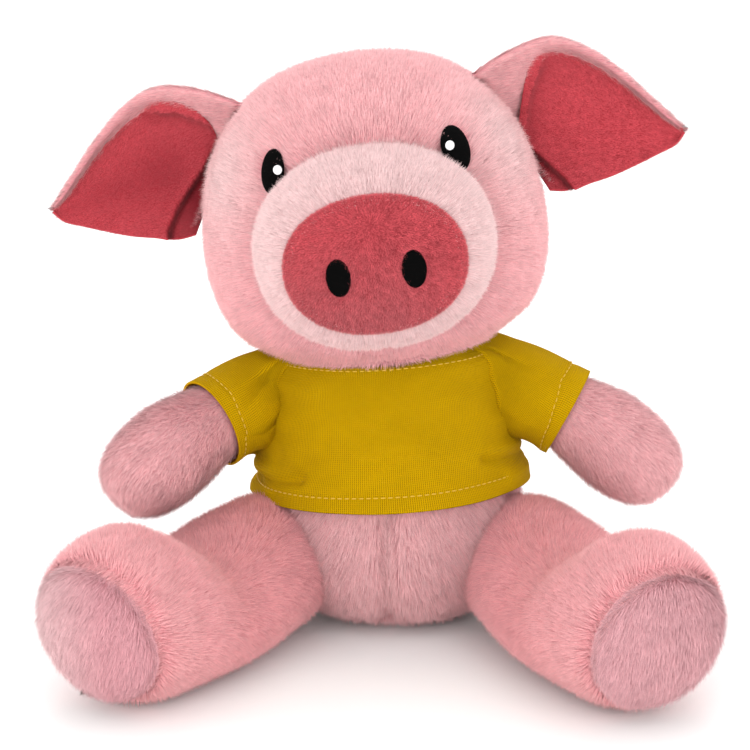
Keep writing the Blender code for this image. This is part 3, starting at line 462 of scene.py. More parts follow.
def loft(name, rings, start=None, end=None):
    """Mesh through closed rings of points. Each end is a pole point or left open."""
    rings = np.asarray(rings, float)
    rows, count, _ = rings.shape
    spots = np.arange(count)
    at = np.arange(rows - 1)[:, None] * count + spots
    after = at - spots + (spots + 1) % count
    faces = np.stack([at, after, after + count, at + count], axis=-1).reshape(-1, 4).tolist()
    points = rings.reshape(-1, 3).tolist()
    for pole, loop in ((start, spots[::-1]), (end, spots + (rows - 1) * count)):
        if pole is not None:
            faces += [(int(loop[i]), int(loop[(i + 1) % count]), len(points)) for i in range(count)]
            points.append(list(pole))
    return new_mesh(name, points, faces)


def grid(name, rows):
    """Open mesh through rows of points."""
    rows = np.asarray(rows, float)
    count, width, _ = rows.shape
    at = np.arange(count - 1)[:, None] * width + np.arange(width - 1)
    faces = np.stack([at, at + 1, at + 1 + width, at + width], axis=-1).reshape(-1, 4).tolist()
    return new_mesh(name, rows.reshape(-1, 3).tolist(), faces)


def new_mesh(name, points, faces):
    mesh = bpy.data.meshes.new(name)
    mesh.from_pydata(points, [], faces)
    mesh.shade_smooth()
    mesh.update()
    return mesh


def places(mesh):
    found = np.empty(len(mesh.vertices) * 3, np.float32)
    mesh.vertices.foreach_get("co", found)
    return found.reshape(-1, 3).astype(float)


def normals(mesh):
    found = np.empty(len(mesh.vertices) * 3, np.float32)
    mesh.vertex_normals.foreach_get("vector", found)
    return found.reshape(-1, 3).astype(float)


def move(mesh, points):
    mesh.vertices.foreach_set("co", points.astype(np.float32).ravel())
    mesh.update()


def raise_by(mesh, amount):
    """Moves each vertex out along its normal."""
    amount = np.broadcast_to(amount, len(mesh.vertices))
    move(mesh, places(mesh) + normals(mesh) * amount[:, None])


def give(mesh, name, values):
    """Writes one number or one vector for each vertex."""
    values = np.asarray(values, np.float32)
    kind, key = ("FLOAT_VECTOR", "vector") if values.ndim == 2 else ("FLOAT", "value")
    attribute = mesh.attributes.get(name) or mesh.attributes.new(name, kind, "POINT")
    attribute.data.foreach_set(key, values.ravel())


def give_uv(mesh, columns, rows):
    """Writes a UV map in metres of cloth."""
    spots = np.empty(len(mesh.loops), np.int32)
    mesh.loops.foreach_get("vertex_index", spots)
    uv = mesh.uv_layers.new(name="cloth")
    uv.data.foreach_set("uv", np.stack([columns[spots], rows[spots]], axis=-1).astype(np.float32).ravel())


def apart(points, line):
    """How far each point lies from a line of points."""
    line = np.asarray(line, float)
    nearest = np.full(len(points), np.inf)
    for start, end in zip(line, line[1:]):
        along = end - start
        share = np.clip((points - start) @ along / max(along @ along, 1e-12), 0, 1)
        nearest = np.minimum(nearest, np.linalg.norm(points - start - share[:, None] * along, axis=1))
    return nearest


def press(mesh, line, depth, width):
    """Presses a soft crease into a mesh along a line; a negative depth raises a ridge."""
    raise_by(mesh, -depth * np.exp(-(apart(places(mesh), line) / width) ** 2))


def on_front(mesh, spots):
    """Places on a mesh's front, at each side and height."""
    tree = BVHTree.FromPolygons([v.co for v in mesh.vertices], [p.vertices for p in mesh.polygons])
    found = []
    for side, rise in spots:
        hit = tree.ray_cast(Vector((side, -1, rise)), Vector((0, 1, 0)))[0]
        found.append(hit or tree.find_nearest(Vector((side, -0.1, rise)))[0])
    return np.array(found, float)


def finer(line, steps=8):
    """The same line through more points."""
    return even_rows(line, (len(line) - 1) * steps + 1)


def add_piece(name, mesh, body, material=None):
    piece = bpy.data.objects.new(name, mesh)
    bpy.context.scene.collection.objects.link(piece)
    if material:
        mesh.materials.clear()
        mesh.materials.append(material)
    if body:
        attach(piece, body)
    return piece


def add_padded(name, mesh, body, material, nodes=()):
    """A padded piece of one slot, in place of the solids of some nodes."""
    piece = add_piece(name, mesh, body, material)
    if nodes:
        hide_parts(*nodes)
    return piece


def evaluated(piece):
    """The piece's mesh with its modifiers worked in. The piece itself is taken away."""
    bpy.context.view_layer.update()
    mesh = bpy.data.meshes.new_from_object(piece.evaluated_get(bpy.context.evaluated_depsgraph_get()))
    bpy.data.objects.remove(piece)
    return mesh


def set_inputs(modifier, values):
    """Sets a Geometry Nodes modifier's inputs by their names."""
    for item in modifier.node_group.interface.items_tree:
        if item.in_out == "INPUT" and item.name in values:
            modifier[item.identifier] = values[item.name]


def node_tree(name, inputs):
    tree = bpy.data.node_groups.new(name, "GeometryNodeTree")
    for label, kind in inputs:
        tree.interface.new_socket(label, in_out="INPUT", socket_type="NodeSocket" + kind)
    tree.interface.new_socket("Made", in_out="OUTPUT", socket_type="NodeSocketGeometry")
    return tree, add_node(tree, "NodeGroupInput").outputs


def set_on_points(tree, given, points, source, turn, size=(1, 1, 1)):
    """Sets a piece on each point, made real and in the finish that the tree is given."""
    piece = add_node(tree, "GeometryNodeObjectInfo", {"Object": source})
    placed = add_node(tree, "GeometryNodeInstanceOnPoints",
                      {"Points": points, "Instance": piece.outputs["Geometry"],
                       "Rotation": turn, "Scale": size})
    real = add_node(tree, "GeometryNodeRealizeInstances", {"Geometry": placed.outputs[0]})
    made = add_node(tree, "GeometryNodeSetMaterial",
                    {"Geometry": real.outputs[0], "Material": given["Finish"]})
    add_node(tree, "NodeGroupOutput", {0: made.outputs[0]})


def fur_tree():
    """Sows strands over a cloth and lays each along the cloth's comb direction."""
    tree, given = node_tree("fur", (
        ("Cloth", "Geometry"), ("Strand", "Object"), ("Strands a square metre", "Float"),
        ("Length", "Float"), ("Width", "Float"), ("Lift", "Float"), ("Clump size", "Float"),
        ("Clumping", "Float"), ("Unruliness", "Float"), ("Seed", "Int"), ("Finish", "Material")))
    cover = add_node(tree, "GeometryNodeInputNamedAttribute", {"Name": "cover"}, data_type="FLOAT")
    comb = add_node(tree, "GeometryNodeInputNamedAttribute", {"Name": "comb"}, data_type="FLOAT_VECTOR")
    density = math_node(tree, "MULTIPLY", cover.outputs["Attribute"], given["Strands a square metre"])
    sown = add_node(tree, "GeometryNodeDistributePointsOnFaces",
                    {"Mesh": given["Cloth"], "Density": density, "Seed": given["Seed"]})
    ground = sown.outputs["Normal"]

    # A strand rises from the comb's direction, swings with its clump and strays by itself
    lift = math_node(tree, "MULTIPLY", given["Lift"], random_node(tree, *LIFT_SPREAD, 1))
    along = vector_node(tree, "SCALE", comb.outputs["Attribute"], math_node(tree, "COSINE", lift))
    out = vector_node(tree, "SCALE", ground, math_node(tree, "SINE", lift))
    aim = vector_node(tree, "ADD", along, out)
    spot = add_node(tree, "GeometryNodeInputPosition").outputs[0]
    fineness = math_node(tree, "DIVIDE", 1.0, given["Clump size"])
    clump = noise_node(tree, spot, fineness, Detail=2.0)["Color"]
    swing = vector_node(tree, "SUBTRACT", clump, (0.5, 0.5, 0.5))
    stray = random_node(tree, (-1,) * 3, (1,) * 3, 2)
    for push, share in ((swing, "Clumping"), (stray, "Unruliness")):
        aim = vector_node(tree, "ADD", aim, vector_node(tree, "SCALE", push, given[share]))
    roll = random_node(tree, (-ROLL,) * 3, (ROLL,) * 3, 6)
    turn = add_node(tree, "FunctionNodeAxesToRotation",
                    {"Primary Axis": aim, "Secondary Axis": vector_node(tree, "ADD", ground, roll)},
                    primary_axis="Z", secondary_axis="Y")

    length = math_node(tree, "MULTIPLY", given["Length"], random_node(tree, *LENGTH_SPREAD, 3))
    width = math_node(tree, "MULTIPLY", given["Width"], random_node(tree, *WIDTH_SPREAD, 4))
    size = add_node(tree, "ShaderNodeCombineXYZ", {0: width, 1: length, 2: length})

    patch = noise_node(tree, spot, fineness, Detail=1.0)[0]
    tint = math_node(tree, "ADD", random_node(tree, -1.0, 1.0, 5),
                     math_node(tree, "MULTIPLY_ADD", patch, 2.0, -1.0))
    points = sown.outputs["Points"]
    for label, value, kind in (("tint", tint, "FLOAT"), ("ground", ground, "FLOAT_VECTOR")):
        marked = add_node(tree, "GeometryNodeStoreNamedAttribute",
                          {"Geometry": points, "Name": label, "Value": value}, data_type=kind, domain="POINT")
        points = marked.outputs[0]
    set_on_points(tree, given, points, given["Strand"], turn.outputs[0], size.outputs[0])
    return tree


def strand_piece():
    """One slim strand along +Z that tapers to its tip and faces +Y."""
    mesh = new_mesh("strand", [(-0.5, 0, 0), (0.5, 0, 0), (0, 0, 1)], [(0, 2, 1)])
    give(mesh, "along", [0, 0, 1])
    return add_piece("strand", mesh, None)


FUR = fur_tree()
STRAND = strand_piece()


def tangent(mesh, directions):
    """Directions laid flat on a mesh's surface."""
    up = normals(mesh)
    directions = np.broadcast_to(directions, up.shape)
    return unit(directions - up * np.sum(directions * up, axis=1, keepdims=True))


def comb_cloth(mesh, comb, cover, tone):
    """Writes how a cloth's fur lies, where it grows and its tone: how far its colour goes to the fur's toned
    pair, which is paler on most cloths and painted shade on the ear linings and the snout.
    """
    give(mesh, "comb", comb)
    give(mesh, "cover", np.broadcast_to(cover, len(comb)))
    give(mesh, "tone", np.broadcast_to(tone, len(comb)))


def grow_fur(name, cloth, body, finish, strands=1.0, length=0.0050, width=0.00026, lift=28,
             clump=0.006, clumping=0.45, unruliness=0.14, seed=1, cover=None):
    """Fur on a combed cloth. Strands are a share of STRANDS, and the lift is in degrees."""
    host = add_piece(name + "_host", cloth.copy(), None)
    if cover is not None:
        give(host.data, "cover", cover)
    maker = host.modifiers.new("fur", "NODES")
    maker.node_group = FUR
    set_inputs(maker, {"Strand": STRAND, "Strands a square metre": strands * STRANDS, "Length": length,
                       "Width": width, "Lift": math.radians(lift), "Clump size": clump,
                       "Clumping": clumping, "Unruliness": unruliness, "Seed": seed, "Finish": finish})
    mesh = evaluated(host)
    mesh.name = name
    points = places(mesh)
    points[:, 2] = np.maximum(points[:, 2], FLOOR_ROOM)
    move(mesh, points)
    ground = np.empty(len(mesh.vertices) * 3, np.float32)
    mesh.attributes["ground"].data.foreach_get("vector", ground)
    facing = unit(ground.reshape(-1, 3) * (1 - STRAND_FACING) + normals(mesh) * STRAND_FACING)
    for spare in ("comb", "cover"):
        if mesh.attributes.get(spare):
            mesh.attributes.remove(mesh.attributes[spare])
    mesh.shade_smooth()
    mesh.normals_split_custom_set_from_vertices(facing.astype(np.float32))
    return add_padded(name, mesh, body, finish)


def fur_material(name, root, tip, toned_root, toned_tip, spread):
    """Dyed polyester faux fur, knitted and combed: soft streaks, with painted shade darkening each strand
    towards its root, and pale tips. The cloth's tone mixes in a second, toned pair of colours: paler on the
    pink furs, painted shade on the red and coral pile.
    """
    made, tree, shader = new_material(name, 0.9, sheen=0.2, sheen_roughness=0.6, sheen_tint="FFE4E4")
    along, tint, tone, ground = [add_node(tree, "ShaderNodeAttribute", attribute_name=label).outputs
                                 for label in ("along", "tint", "tone", "ground")]
    # Each strand goes from a darker root to its tip: painted shade between the strands
    rosy = mix_node(tree, along["Fac"], linear(root), linear(tip))
    # The toned pair (pale): paler colours on the pink furs, painted shade on the red and coral pile
    pale = mix_node(tree, along["Fac"], linear(toned_root), linear(toned_tip))
    dye(tree, shader, math_node(tree, "MULTIPLY_ADD", tint["Fac"], spread, 1.0),
        mix_node(tree, tone["Fac"], rosy, pale))
    # Both sides of a strand take the light as the cloth under it does
    facing = add_node(tree, "ShaderNodeVectorTransform", {"Vector": ground["Vector"]},
                      vector_type="NORMAL", convert_from="OBJECT", convert_to="WORLD")
    tree.links.new(facing.outputs[0], shader.inputs["Normal"])
    return made


def speckled_material(name, colour, roughness, scale, darkest, lightest, sheen=0.0):
    """One colour, finely uneven."""
    made, tree, shader = new_material(name, roughness, sheen=sheen)
    speckle = noise_node(tree, object_place(tree), scale)[0]
    dye(tree, shader, map_node(tree, speckle, to_low=darkest, to_high=lightest), linear(colour))
    return made


def minky_material(name, base, light, scale):
    """Short polyester minky, sheared and brushed: a velvet bloom with mottled, brushed patches."""
    made, tree, shader = new_material(name, 0.85, sheen=0.25, sheen_roughness=0.4, sheen_tint="FFB9B9")
    spot = object_place(tree)
    brushed = noise_node(tree, spot, 160.0, Detail=4.0, Distortion=0.6)[0]
    nap = noise_node(tree, spot, scale, Detail=2.0)[0]
    spread = map_node(tree, math_node(tree, "MULTIPLY", brushed, nap), 0.05, 0.45)
    tree.links.new(mix_node(tree, spread, linear(base), linear(light)), shader.inputs["Base Color"])
    emboss(tree, shader, nap, 0.6, 0.0005)
    return made


def thread_material(name, colour, roughness):
    """Rayon embroidery thread in satin stitch: fine parallel ridges with a faint silky gloss."""
    made, tree, shader = new_material(name, roughness, specular=0.04)
    ridge = add_node(tree, "ShaderNodeTexWave",
                     {"Vector": object_place(tree), "Scale": math.tau / THREAD_PITCH / 20, "Distortion": 0.3},
                     wave_type="BANDS", bands_direction="Z")
    shader.inputs["Base Color"].default_value = linear(colour)
    emboss(tree, shader, ridge.outputs[1], 0.5, 0.0002)
    return made


def knit_material(name, colour, shadow):
    """Combed cotton single jersey: columns of small V loops, matt, with painted shade between the columns and
    in the low parts of the loops.
    """
    made, tree, shader = new_material(name, 0.95, specular=0.06)
    cloth = add_node(tree, "ShaderNodeUVMap", uv_map="cloth").outputs[0]
    across, down, _ = add_node(tree, "ShaderNodeSeparateXYZ", {0: cloth}).outputs
    column = math_node(tree, "FRACT", math_node(tree, "DIVIDE", across, WALE))
    leg = math_node(tree, "ABSOLUTE", math_node(tree, "SUBTRACT", column, 0.5))
    slant = math_node(tree, "MULTIPLY_ADD", leg, -1.4, math_node(tree, "DIVIDE", down, COURSE))
    wave = math_node(tree, "SINE", math_node(tree, "MULTIPLY", slant, math.tau))
    loop = math_node(tree, "MULTIPLY_ADD", wave, 0.35, map_node(tree, leg, 0.50, 0.30))
    spot = object_place(tree)
    fuzz = noise_node(tree, spot, 1500.0)[0]
    worn = noise_node(tree, spot, 60.0, Detail=3.0)[0]
    height = math_node(tree, "MULTIPLY_ADD", fuzz, 0.5, loop)
    # Painted shade: the colour goes to the shadow colour where the knit's relief is low
    lit = mix_node(tree, map_node(tree, height, -0.1, 1.1), linear(shadow), linear(colour))
    dye(tree, shader, map_node(tree, worn, 0.3, 0.7, 0.95, 1.05), lit)
    emboss(tree, shader, height, 1.0, 0.0004)
    return made


# Every fur's root colour is darker than its tip: painted shade between the strands. The leg fur is the pink
# fabric made darker and rosier as painted shade, its pile lying another way. The red pile's toned pair is
# painted shade for the ear linings' root, hollow and folds, and the coral pile's is painted shade for the
# snout's lower part.
pink_fur = fur_material("pink_faux_fur_combed", "E8838C", "FBBFC1", "D8A4A6", "F4D8D6", 0.16)
shaded_pink_fur = fur_material("pink_faux_fur_painted_shade", "E67882", "FCB2B4", "DBA6A8", "F7DEDC", 0.14)
sole_fur = fur_material("pale_faux_fur_combed", "C67781", "E5A9B0", "DDAFAF", "F9E6E4", 0.16)
red_pile = fur_material("red_minky_pile", "BA323E", "F2646E", "78131F", "A02A35", 0.16)
coral_pile = fur_material("coral_minky_pile", "942832", "EE636B", "8E4046", "C47074", 0.32)
# Polyester knit backing, seen dark between the strands
backing = speckled_material("pink_knit_backing", "EE9AA6", 0.95, 1400.0, 0.85, 1.1)
pale_backing = speckled_material("pale_knit_backing", "EFCFCE", 0.95, 1400.0, 0.85, 1.1)
snout_minky = minky_material("coral_minky_sheared", "8A2C35", "AA3F47", 900.0)
ear_minky = minky_material("red_minky_brushed", "A62934", "BC3B46", 1100.0)
black_thread = thread_material("black_rayon_satin_stitch", "020202", 0.7)
white_thread = thread_material("white_rayon_satin_stitch", "E9E9EA", 0.6)
# The second colour is painted shade in the knit's hollows
knit = knit_material("mustard_cotton_jersey", "D8AA00", "6E5204")
# Spun sewing thread: matt, with a faint unevenness
shirt_thread = speckled_material("mustard_spun_thread", "DAB034", 0.8, 2500.0, 0.9, 1.08, sheen=0.1)


def body_point(angle, rise, grow=0.0):
    """Places on the body's wall at angles from +X and heights, grown outwards."""
    angle, rise, grow = np.broadcast_arrays(angle, rise, grow)
    _, width, depth = np.moveaxis(rows_at(BODY_SHARES, rise / BODY_HEIGHT), -1, 0)
    side = (BODY_HALF_WIDTH * width + grow) * np.cos(angle)
    fore = (BODY_HALF_DEPTH * depth + grow) * np.sin(angle)
    lean = BODY_LEAN * np.minimum(rise / BODY_BEND_HEIGHT, 1)
    bent = np.where(rise > BODY_BEND_HEIGHT, rise - BODY_BEND_HEIGHT / 2, rise ** 2 / (2 * BODY_BEND_HEIGHT))
    shift = -math.tan(BODY_LEAN) * bent
    return np.stack([shift + side * np.cos(lean), fore, rise + side * np.sin(lean)], axis=-1)


def body_middle(rise):
    return body_point(0.0, rise) / 2 + body_point(math.pi, rise) / 2


NECK_PLACE = body_middle(BODY_HEIGHT + NECK_RISE) + np.array((NECK_SIDE, -NECK_FORWARD, 0.0))
HEAD_FRAME = Matrix.Translation(Vector(NECK_PLACE)) @ Matrix.Rotation(-HEAD_TILT, 4, "Y")


def turned_with_head(directions):
    """Directions of the head's own frame in the pig's frame."""
    return directions @ np.array(HEAD_FRAME.to_3x3()).T


def in_head(points):
    """Points of the head's own frame in the pig's frame."""
    return turned_with_head(np.asarray(points, float)) + np.array(HEAD_FRAME.translation)


def from_head(points):
    """Points of the pig's frame in the head's own frame."""
    inverse = np.array(HEAD_FRAME.inverted().to_3x3())
    return (np.asarray(points, float) - np.array(HEAD_FRAME.translation)) @ inverse.T


def make_body():
    angles = math.tau * np.arange(140) / 140
    shares = even_rows(BODY_SHARES, 90)[:, 0]
    rings = body_point(angles[None, :], shares[:, None] * BODY_HEIGHT)
    cloth = loft("body_cloth", rings, rings[0].mean(0), rings[-1].mean(0))
    raise_by(cloth, -PILE)
    seam = finer(on_front(cloth, BELLY_SEAM))
    for depth, width in BELLY_PRESSES:
        press(cloth, seam, depth, width)
    points = places(cloth)
    # The fur leans away from the belly's seam, and grows where the T-shirt doesn't lie on it
    outwards = 0.45 * np.clip((points[:, :1] - BELLY_SIDE) / BELLY_PARTING, -1, 1)
    neck = (points[:, 2] > COLLAR_RISE - FUR_IN_COLLAR) & (points[:, 1] > -BARE_THROAT)
    belly = points[:, 2] < HEM_RISE + FUR_IN_HEM
    comb_cloth(cloth, tangent(cloth, outwards * X_AXIS - Z_AXIS), neck | belly, 0.30)
    add_padded("body_cloth", cloth, "torso", backing,
               nodes=("body_skin", "body_filling", "pellet_pouch"))
    grow_fur("body_fur", cloth, "torso", pink_fur, strands=0.85, length=0.0056,
             clump=0.0045, clumping=1.0, seed=11)

    rings = []
    for turn in np.linspace(-1.4, 1.4, 19):
        centre = NECK_PLACE + Z_AXIS * NECK_RADIUS * math.sin(turn)
        reach = NECK_RADIUS * NECK_SPREAD * math.cos(turn)
        rings.append(ring(centre, X_AXIS, Y_AXIS, reach, reach, 48))
    ball = loft("neck_stuffing", rings, NECK_PLACE - Z_AXIS * NECK_RADIUS, NECK_PLACE + Z_AXIS * NECK_RADIUS)
    add_padded("neck_stuffing", ball, "neck", backing, nodes=("neck_filling",))


def head_rows(shares):
    """Height, half width and half depth of the head at shares of its height."""
    shares = np.asarray(shares, float)
    rows = rows_at(HEAD_SHARES, shares)
    return (shares * (HEAD_HEIGHT + HEAD_BELOW) - HEAD_BELOW, HEAD_HALF_WIDTH * rows[..., 1],
            HEAD_HALF_DEPTH * rows[..., 2])


def head_front(side, rise):
    """How far forward the head's face stands, in its own frame."""
    _, width, depth = head_rows((np.asarray(rise) + HEAD_BELOW) / (HEAD_HEIGHT + HEAD_BELOW))
    share = np.minimum(np.abs(side) / width, 1)
    return -HEAD_FORWARD - depth * (1 - share ** HEAD_POWER) ** (1 / HEAD_POWER)


def in_oval(points, place, halves, slant=0.0):
    """How far out each point lies in an oval seen from the front: 1 is its rim."""
    side = points[:, 0] - place[0]
    rise = points[:, 2] - place[1]
    across = (side * math.cos(slant) + rise * math.sin(slant)) / halves[0]
    up = (rise * math.cos(slant) - side * math.sin(slant)) / halves[1]
    return np.sqrt(across ** 2 + up ** 2)


def in_eye(points, side):
    """How far out each point lies in an eye: 1 is its rim, and points behind the face are far out."""
    inside = in_oval(points, (side * EYE_SIDE, EYE_RISE), EYE_HALVES[side], side * EYE_SLANT)
    return np.where(points[:, 1] < 0, inside, np.inf)


def muzzle_ring(row, count):
    reach, width, height = row
    drop = MUZZLE_DROP * max(reach - MUZZLE_LEVEL_SHARE, 0) / (1 - MUZZLE_LEVEL_SHARE)
    centre = np.array((0, -MUZZLE_REACH * reach, MUZZLE_RISE - drop))
    return ring(centre, X_AXIS, Z_AXIS, MUZZLE_HALF_WIDTH * width, MUZZLE_HALF_HEIGHT * height, count,
                MUZZLE_POWER)


def make_head():
    shares = even_rows(HEAD_SHARES, 110)[:-1, 0]
    rings = [ring(np.array((0, -HEAD_FORWARD, rise)), X_AXIS, Y_AXIS, width, depth, 180, HEAD_POWER)
             for rise, width, depth in zip(*head_rows(shares))]
    cloth = loft("head_cloth", rings, (0, -HEAD_FORWARD, -HEAD_BELOW), (0, -HEAD_FORWARD, HEAD_HEIGHT))
    over_chin = (places(cloth)[:, 2] + HEAD_BELOW) / CHIN_DRAW_HEIGHT
    raise_by(cloth, -PILE - CHIN_DRAW * np.exp(-over_chin ** 2))
    points = places(cloth)
    for side, _ in SIDES:
        raise_by(cloth, -EYE_DIP * np.exp(-(in_eye(points, side) / 1.2) ** 4))
    ringed = in_oval(points, (0, MUZZLE_RISE), (MUZZLE_HALF_WIDTH * 0.97, MUZZLE_HALF_HEIGHT * 0.97))
    raise_by(cloth, -MUZZLE_GROOVE * np.exp(-((ringed - 1.04) / 0.07) ** 2) * (points[:, 1] < FACE_FORE))

    # The fur runs from the snout over the face, and down the back of the head
    points = places(cloth)
    outwards = unit(points - np.array((0, -MUZZLE_REACH, MUZZLE_RISE - MUZZLE_DROP)))
    behind = np.clip((points[:, 1] + 0.028) / 0.04, 0, 1)[:, None]
    comb = tangent(cloth, outwards * (1 - behind) + np.array((0, 0.2, -1.0)) * behind)
    cover = np.ones(len(points))
    for side, _ in SIDES:
        cover[in_eye(points, side) < 0.86] = 0
    cover[(ringed < 1) & (points[:, 1] < FACE_FORE)] = 0
    cover[points[:, 2] < -HEAD_BELOW + PILE + 0.0005] = 0

    # It is palest at the temples and round the muzzle
    fore = np.clip((0.02 - points[:, 1]) / 0.05, 0, 1)
    tone = 0.10 * fore * np.clip((points[:, 2] - 0.055) / 0.035, 0, 1) + 0.05
    tone += 0.85 * fore * np.exp(-((np.abs(points[:, 0]) - TEMPLE[0]) / TEMPLE_HALVES[0]) ** 2
                                 - ((points[:, 2] - TEMPLE[1]) / TEMPLE_HALVES[1]) ** 2)
    tone += 0.5 * np.exp(-np.maximum((ringed - 1) / 0.035, 0) ** 2) * (points[:, 1] < FACE_FORE)
    move(cloth, in_head(points))
    comb_cloth(cloth, turned_with_head(comb), cover, np.clip(tone, 0, 1))
    add_padded("head_cloth", cloth, "head", backing,
               nodes=("head_skin", "head_filling"))
    face = (points[:, 1] < FACE_FORE) & (points[:, 2] < FACE_TOP)
    crown = ~face & (points[:, 2] > CROWN_BOTTOM)
    for word, mask, seed, unruliness in (("face", face, 21, 0.14), ("crown", crown, 22, 0.34),
                                         ("back", ~face & ~crown, 23, 0.14)):
        grow_fur("head_fur_" + word, cloth, "head", pink_fur, length=0.0046,
                 unruliness=unruliness, seed=seed, cover=cover * mask)


def make_muzzle():
    rings = [muzzle_ring(row, 150) for row in even_rows(MUZZLE_SHARES, 44)]
    cloth = loft("muzzle_cloth", rings)
    raise_by(cloth, -PILE * 0.9)
    points = places(cloth)
    reach = -points[:, 1] / MUZZLE_REACH
    outwards = unit((points - np.array((0, 0, MUZZLE_RISE - MUZZLE_DROP))) * (1, 0, 1))
    comb = tangent(cloth, Y_AXIS + outwards * 0.7 + Z_AXIS * -0.2)
    chin = (points[:, 2] < MUZZLE_RISE) & (np.abs(points[:, 0]) < CHIN_SEAM_REACH)
    raise_by(cloth, -CHIN_SEAM_DEPTH * np.exp(-(points[:, 0] / CHIN_SEAM_WIDTH) ** 2) * chin)
    move(cloth, in_head(places(cloth)))
    face = head_front(points[:, 0], np.clip(points[:, 2], 0.004, 0.11))
    shown = points[:, 1] < face + MUZZLE_FUR_TUCK
    comb_cloth(cloth, turned_with_head(comb), shown, np.clip((reach - 0.56) / 0.05, 0, 1) * 0.35 + 0.55)
    add_padded("muzzle_cloth", cloth, "head", pale_backing,
               nodes=("muzzle_band", "muzzle_filling"))
    grow_fur("muzzle_fur", cloth, "head", pink_fur, strands=1.15, length=0.0042,
             lift=32, clump=0.004, clumping=0.62, seed=31)
    # A fringe falls in over the snout's rim
    give(cloth, "comb", tangent(cloth, turned_with_head(Y_AXIS * -0.6 - outwards)))
    grow_fur("muzzle_fringe", cloth, "head", pink_fur, strands=0.8, length=0.0036,
             lift=44, clump=0.003, clumping=0.5, seed=32, cover=reach > 0.955)


def snout_front(side, rise):
    """How far forward the snout disc stands, dipped at each nostril."""
    _, width, height = MUZZLE_SHARES[-1]
    across = side / (MUZZLE_HALF_WIDTH * width)
    up = (rise - MUZZLE_RISE + MUZZLE_DROP) / (MUZZLE_HALF_HEIGHT * height)
    out = np.minimum(across ** 2 + up ** 2, 1)
    fore = -MUZZLE_REACH - SNOUT_DOME * (1 - out)
    points = np.stack([side, fore, rise], axis=-1).reshape(-1, 3)
    for sign in (-1, 1):
        inside = in_oval(points, (sign * NOSTRIL_SIDE, NOSTRIL_RISE), NOSTRIL_HALVES)
        fore = fore + NOSTRIL_DIP * np.exp(-(inside.reshape(fore.shape) / 1.15) ** 4)
    return fore


def make_snout():
    rim = muzzle_ring(MUZZLE_SHARES[-1], 130)
    low = MUZZLE_RISE - MUZZLE_DROP
    rings = []
    for spread in np.concatenate([[1.0], np.linspace(0.99, 0.03, 46)]):
        side = rim[:, 0] * spread
        rise = low + (rim[:, 2] - low) * spread
        fore = snout_front(side, rise)
        if spread == 1:
            fore = fore + SNOUT_WALL
        rings.append(np.stack([side, fore + SNOUT_SINK, rise], axis=-1))
    middle = (0, float(snout_front(np.array([0.0]), np.array([low]))[0]) + SNOUT_SINK, low)
    disc = loft("snout_minky_disc", rings, None, middle)
    points = places(disc)
    comb = tangent(disc, points - np.array((0, -MUZZLE_REACH, low + 0.004)) + Z_AXIS * -0.01)
    cover = np.ones(len(points))
    for side, _ in SIDES:
        cover[in_oval(points, (side * NOSTRIL_SIDE, NOSTRIL_RISE), NOSTRIL_HALVES) < 0.9] = 0
    move(disc, in_head(points))
    # Painted shade: the disc darker and duller towards its bottom, weaker towards the pig's left side
    low_painted_shade = np.clip((low + 0.012 - points[:, 2]) / 0.030, 0, 1) * np.clip(1.2 - points[:, 0] / 0.03, 0.3, 1)
    comb_cloth(disc, turned_with_head(comb), cover, low_painted_shade * 0.6)
    add_padded("snout_cloth", disc, "head", snout_minky, nodes=("snout_disc",))
    grow_fur("snout_pile", disc, "head", coral_pile, strands=2.2, length=0.0013,
             width=0.00018, lift=48, clump=0.0022, clumping=1.5, unruliness=0.35, seed=35)
    for side, word in SIDES:
        add_patch("nostril_stitches_" + word, "nostril_" + word, (side * NOSTRIL_SIDE, NOSTRIL_RISE),
                  NOSTRIL_HALVES, 0.0, snout_front, NOSTRIL_LIFT, NOSTRIL_DOME, black_thread)
        add_patch("eye_stitches_" + word, "eye_" + word, (side * EYE_SIDE, EYE_RISE), EYE_HALVES[side],
                  side * EYE_SLANT, head_front, -EYE_SINK, EYE_DOME, black_thread)
        add_patch("highlight_stitches_" + word, "eye_highlight_" + word,
                  (side * (EYE_SIDE - HIGHLIGHT_SIDE), EYE_RISE + HIGHLIGHT_RISE[side]),
                  (HIGHLIGHT_RADIUS, HIGHLIGHT_RADIUS), 0.0, head_front, HIGHLIGHT_LIFT, HIGHLIGHT_DOME,
                  white_thread)


def add_patch(name, node, place, halves, slant, front, lift, dome, finish):
    """Domed oval of satin stitch on a curved front."""
    rings = []
    angles = math.tau * np.arange(40) / 40
    for spread, rise in PATCH_SHARES:
        across = halves[0] * np.cos(angles) * spread
        up = halves[1] * np.sin(angles) * spread
        side = place[0] + across * math.cos(slant) - up * math.sin(slant)
        high = place[1] + across * math.sin(slant) + up * math.cos(slant)
        raised = dome * rise if rise >= 0 else -PATCH_WALL
        rings.append(np.stack([side, front(side, high) - lift - raised, high], axis=-1))
    piece = add_piece(name, loft(name, in_head(rings), None, in_head(rings[-1].mean(0))), "head", finish)
    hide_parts(node)


def ear_places(side, along, across, depth):
    """Places on an ear's cupped leaf: along it from root to tip, across it from low to high."""
    rows = smooth_rows(EAR_SHARES, np.asarray(along) * (len(EAR_SHARES) - 1))
    up_side, up_rise, low_side, low_rise, cup = np.moveaxis(rows, -1, 0)
    upper = np.stack([EAR_ROOT_SIDE + EAR_REACH * up_side, EAR_BASE_RISE + EAR_HEIGHT * up_rise], axis=-1)
    lower = np.stack([EAR_ROOT_SIDE + EAR_REACH * low_side, EAR_BASE_RISE + EAR_HEIGHT * low_rise], axis=-1)
    flat = lower + (upper - lower) * np.asarray(across)[..., None]
    bow = 1 - (2 * np.asarray(across) - 1) ** 2
    fore = EAR_CUP * cup * (bow - 0.5) - EAR_SWEEP * up_side ** 2 + depth
    return np.stack([side * flat[..., 0], fore, flat[..., 1]], axis=-1)


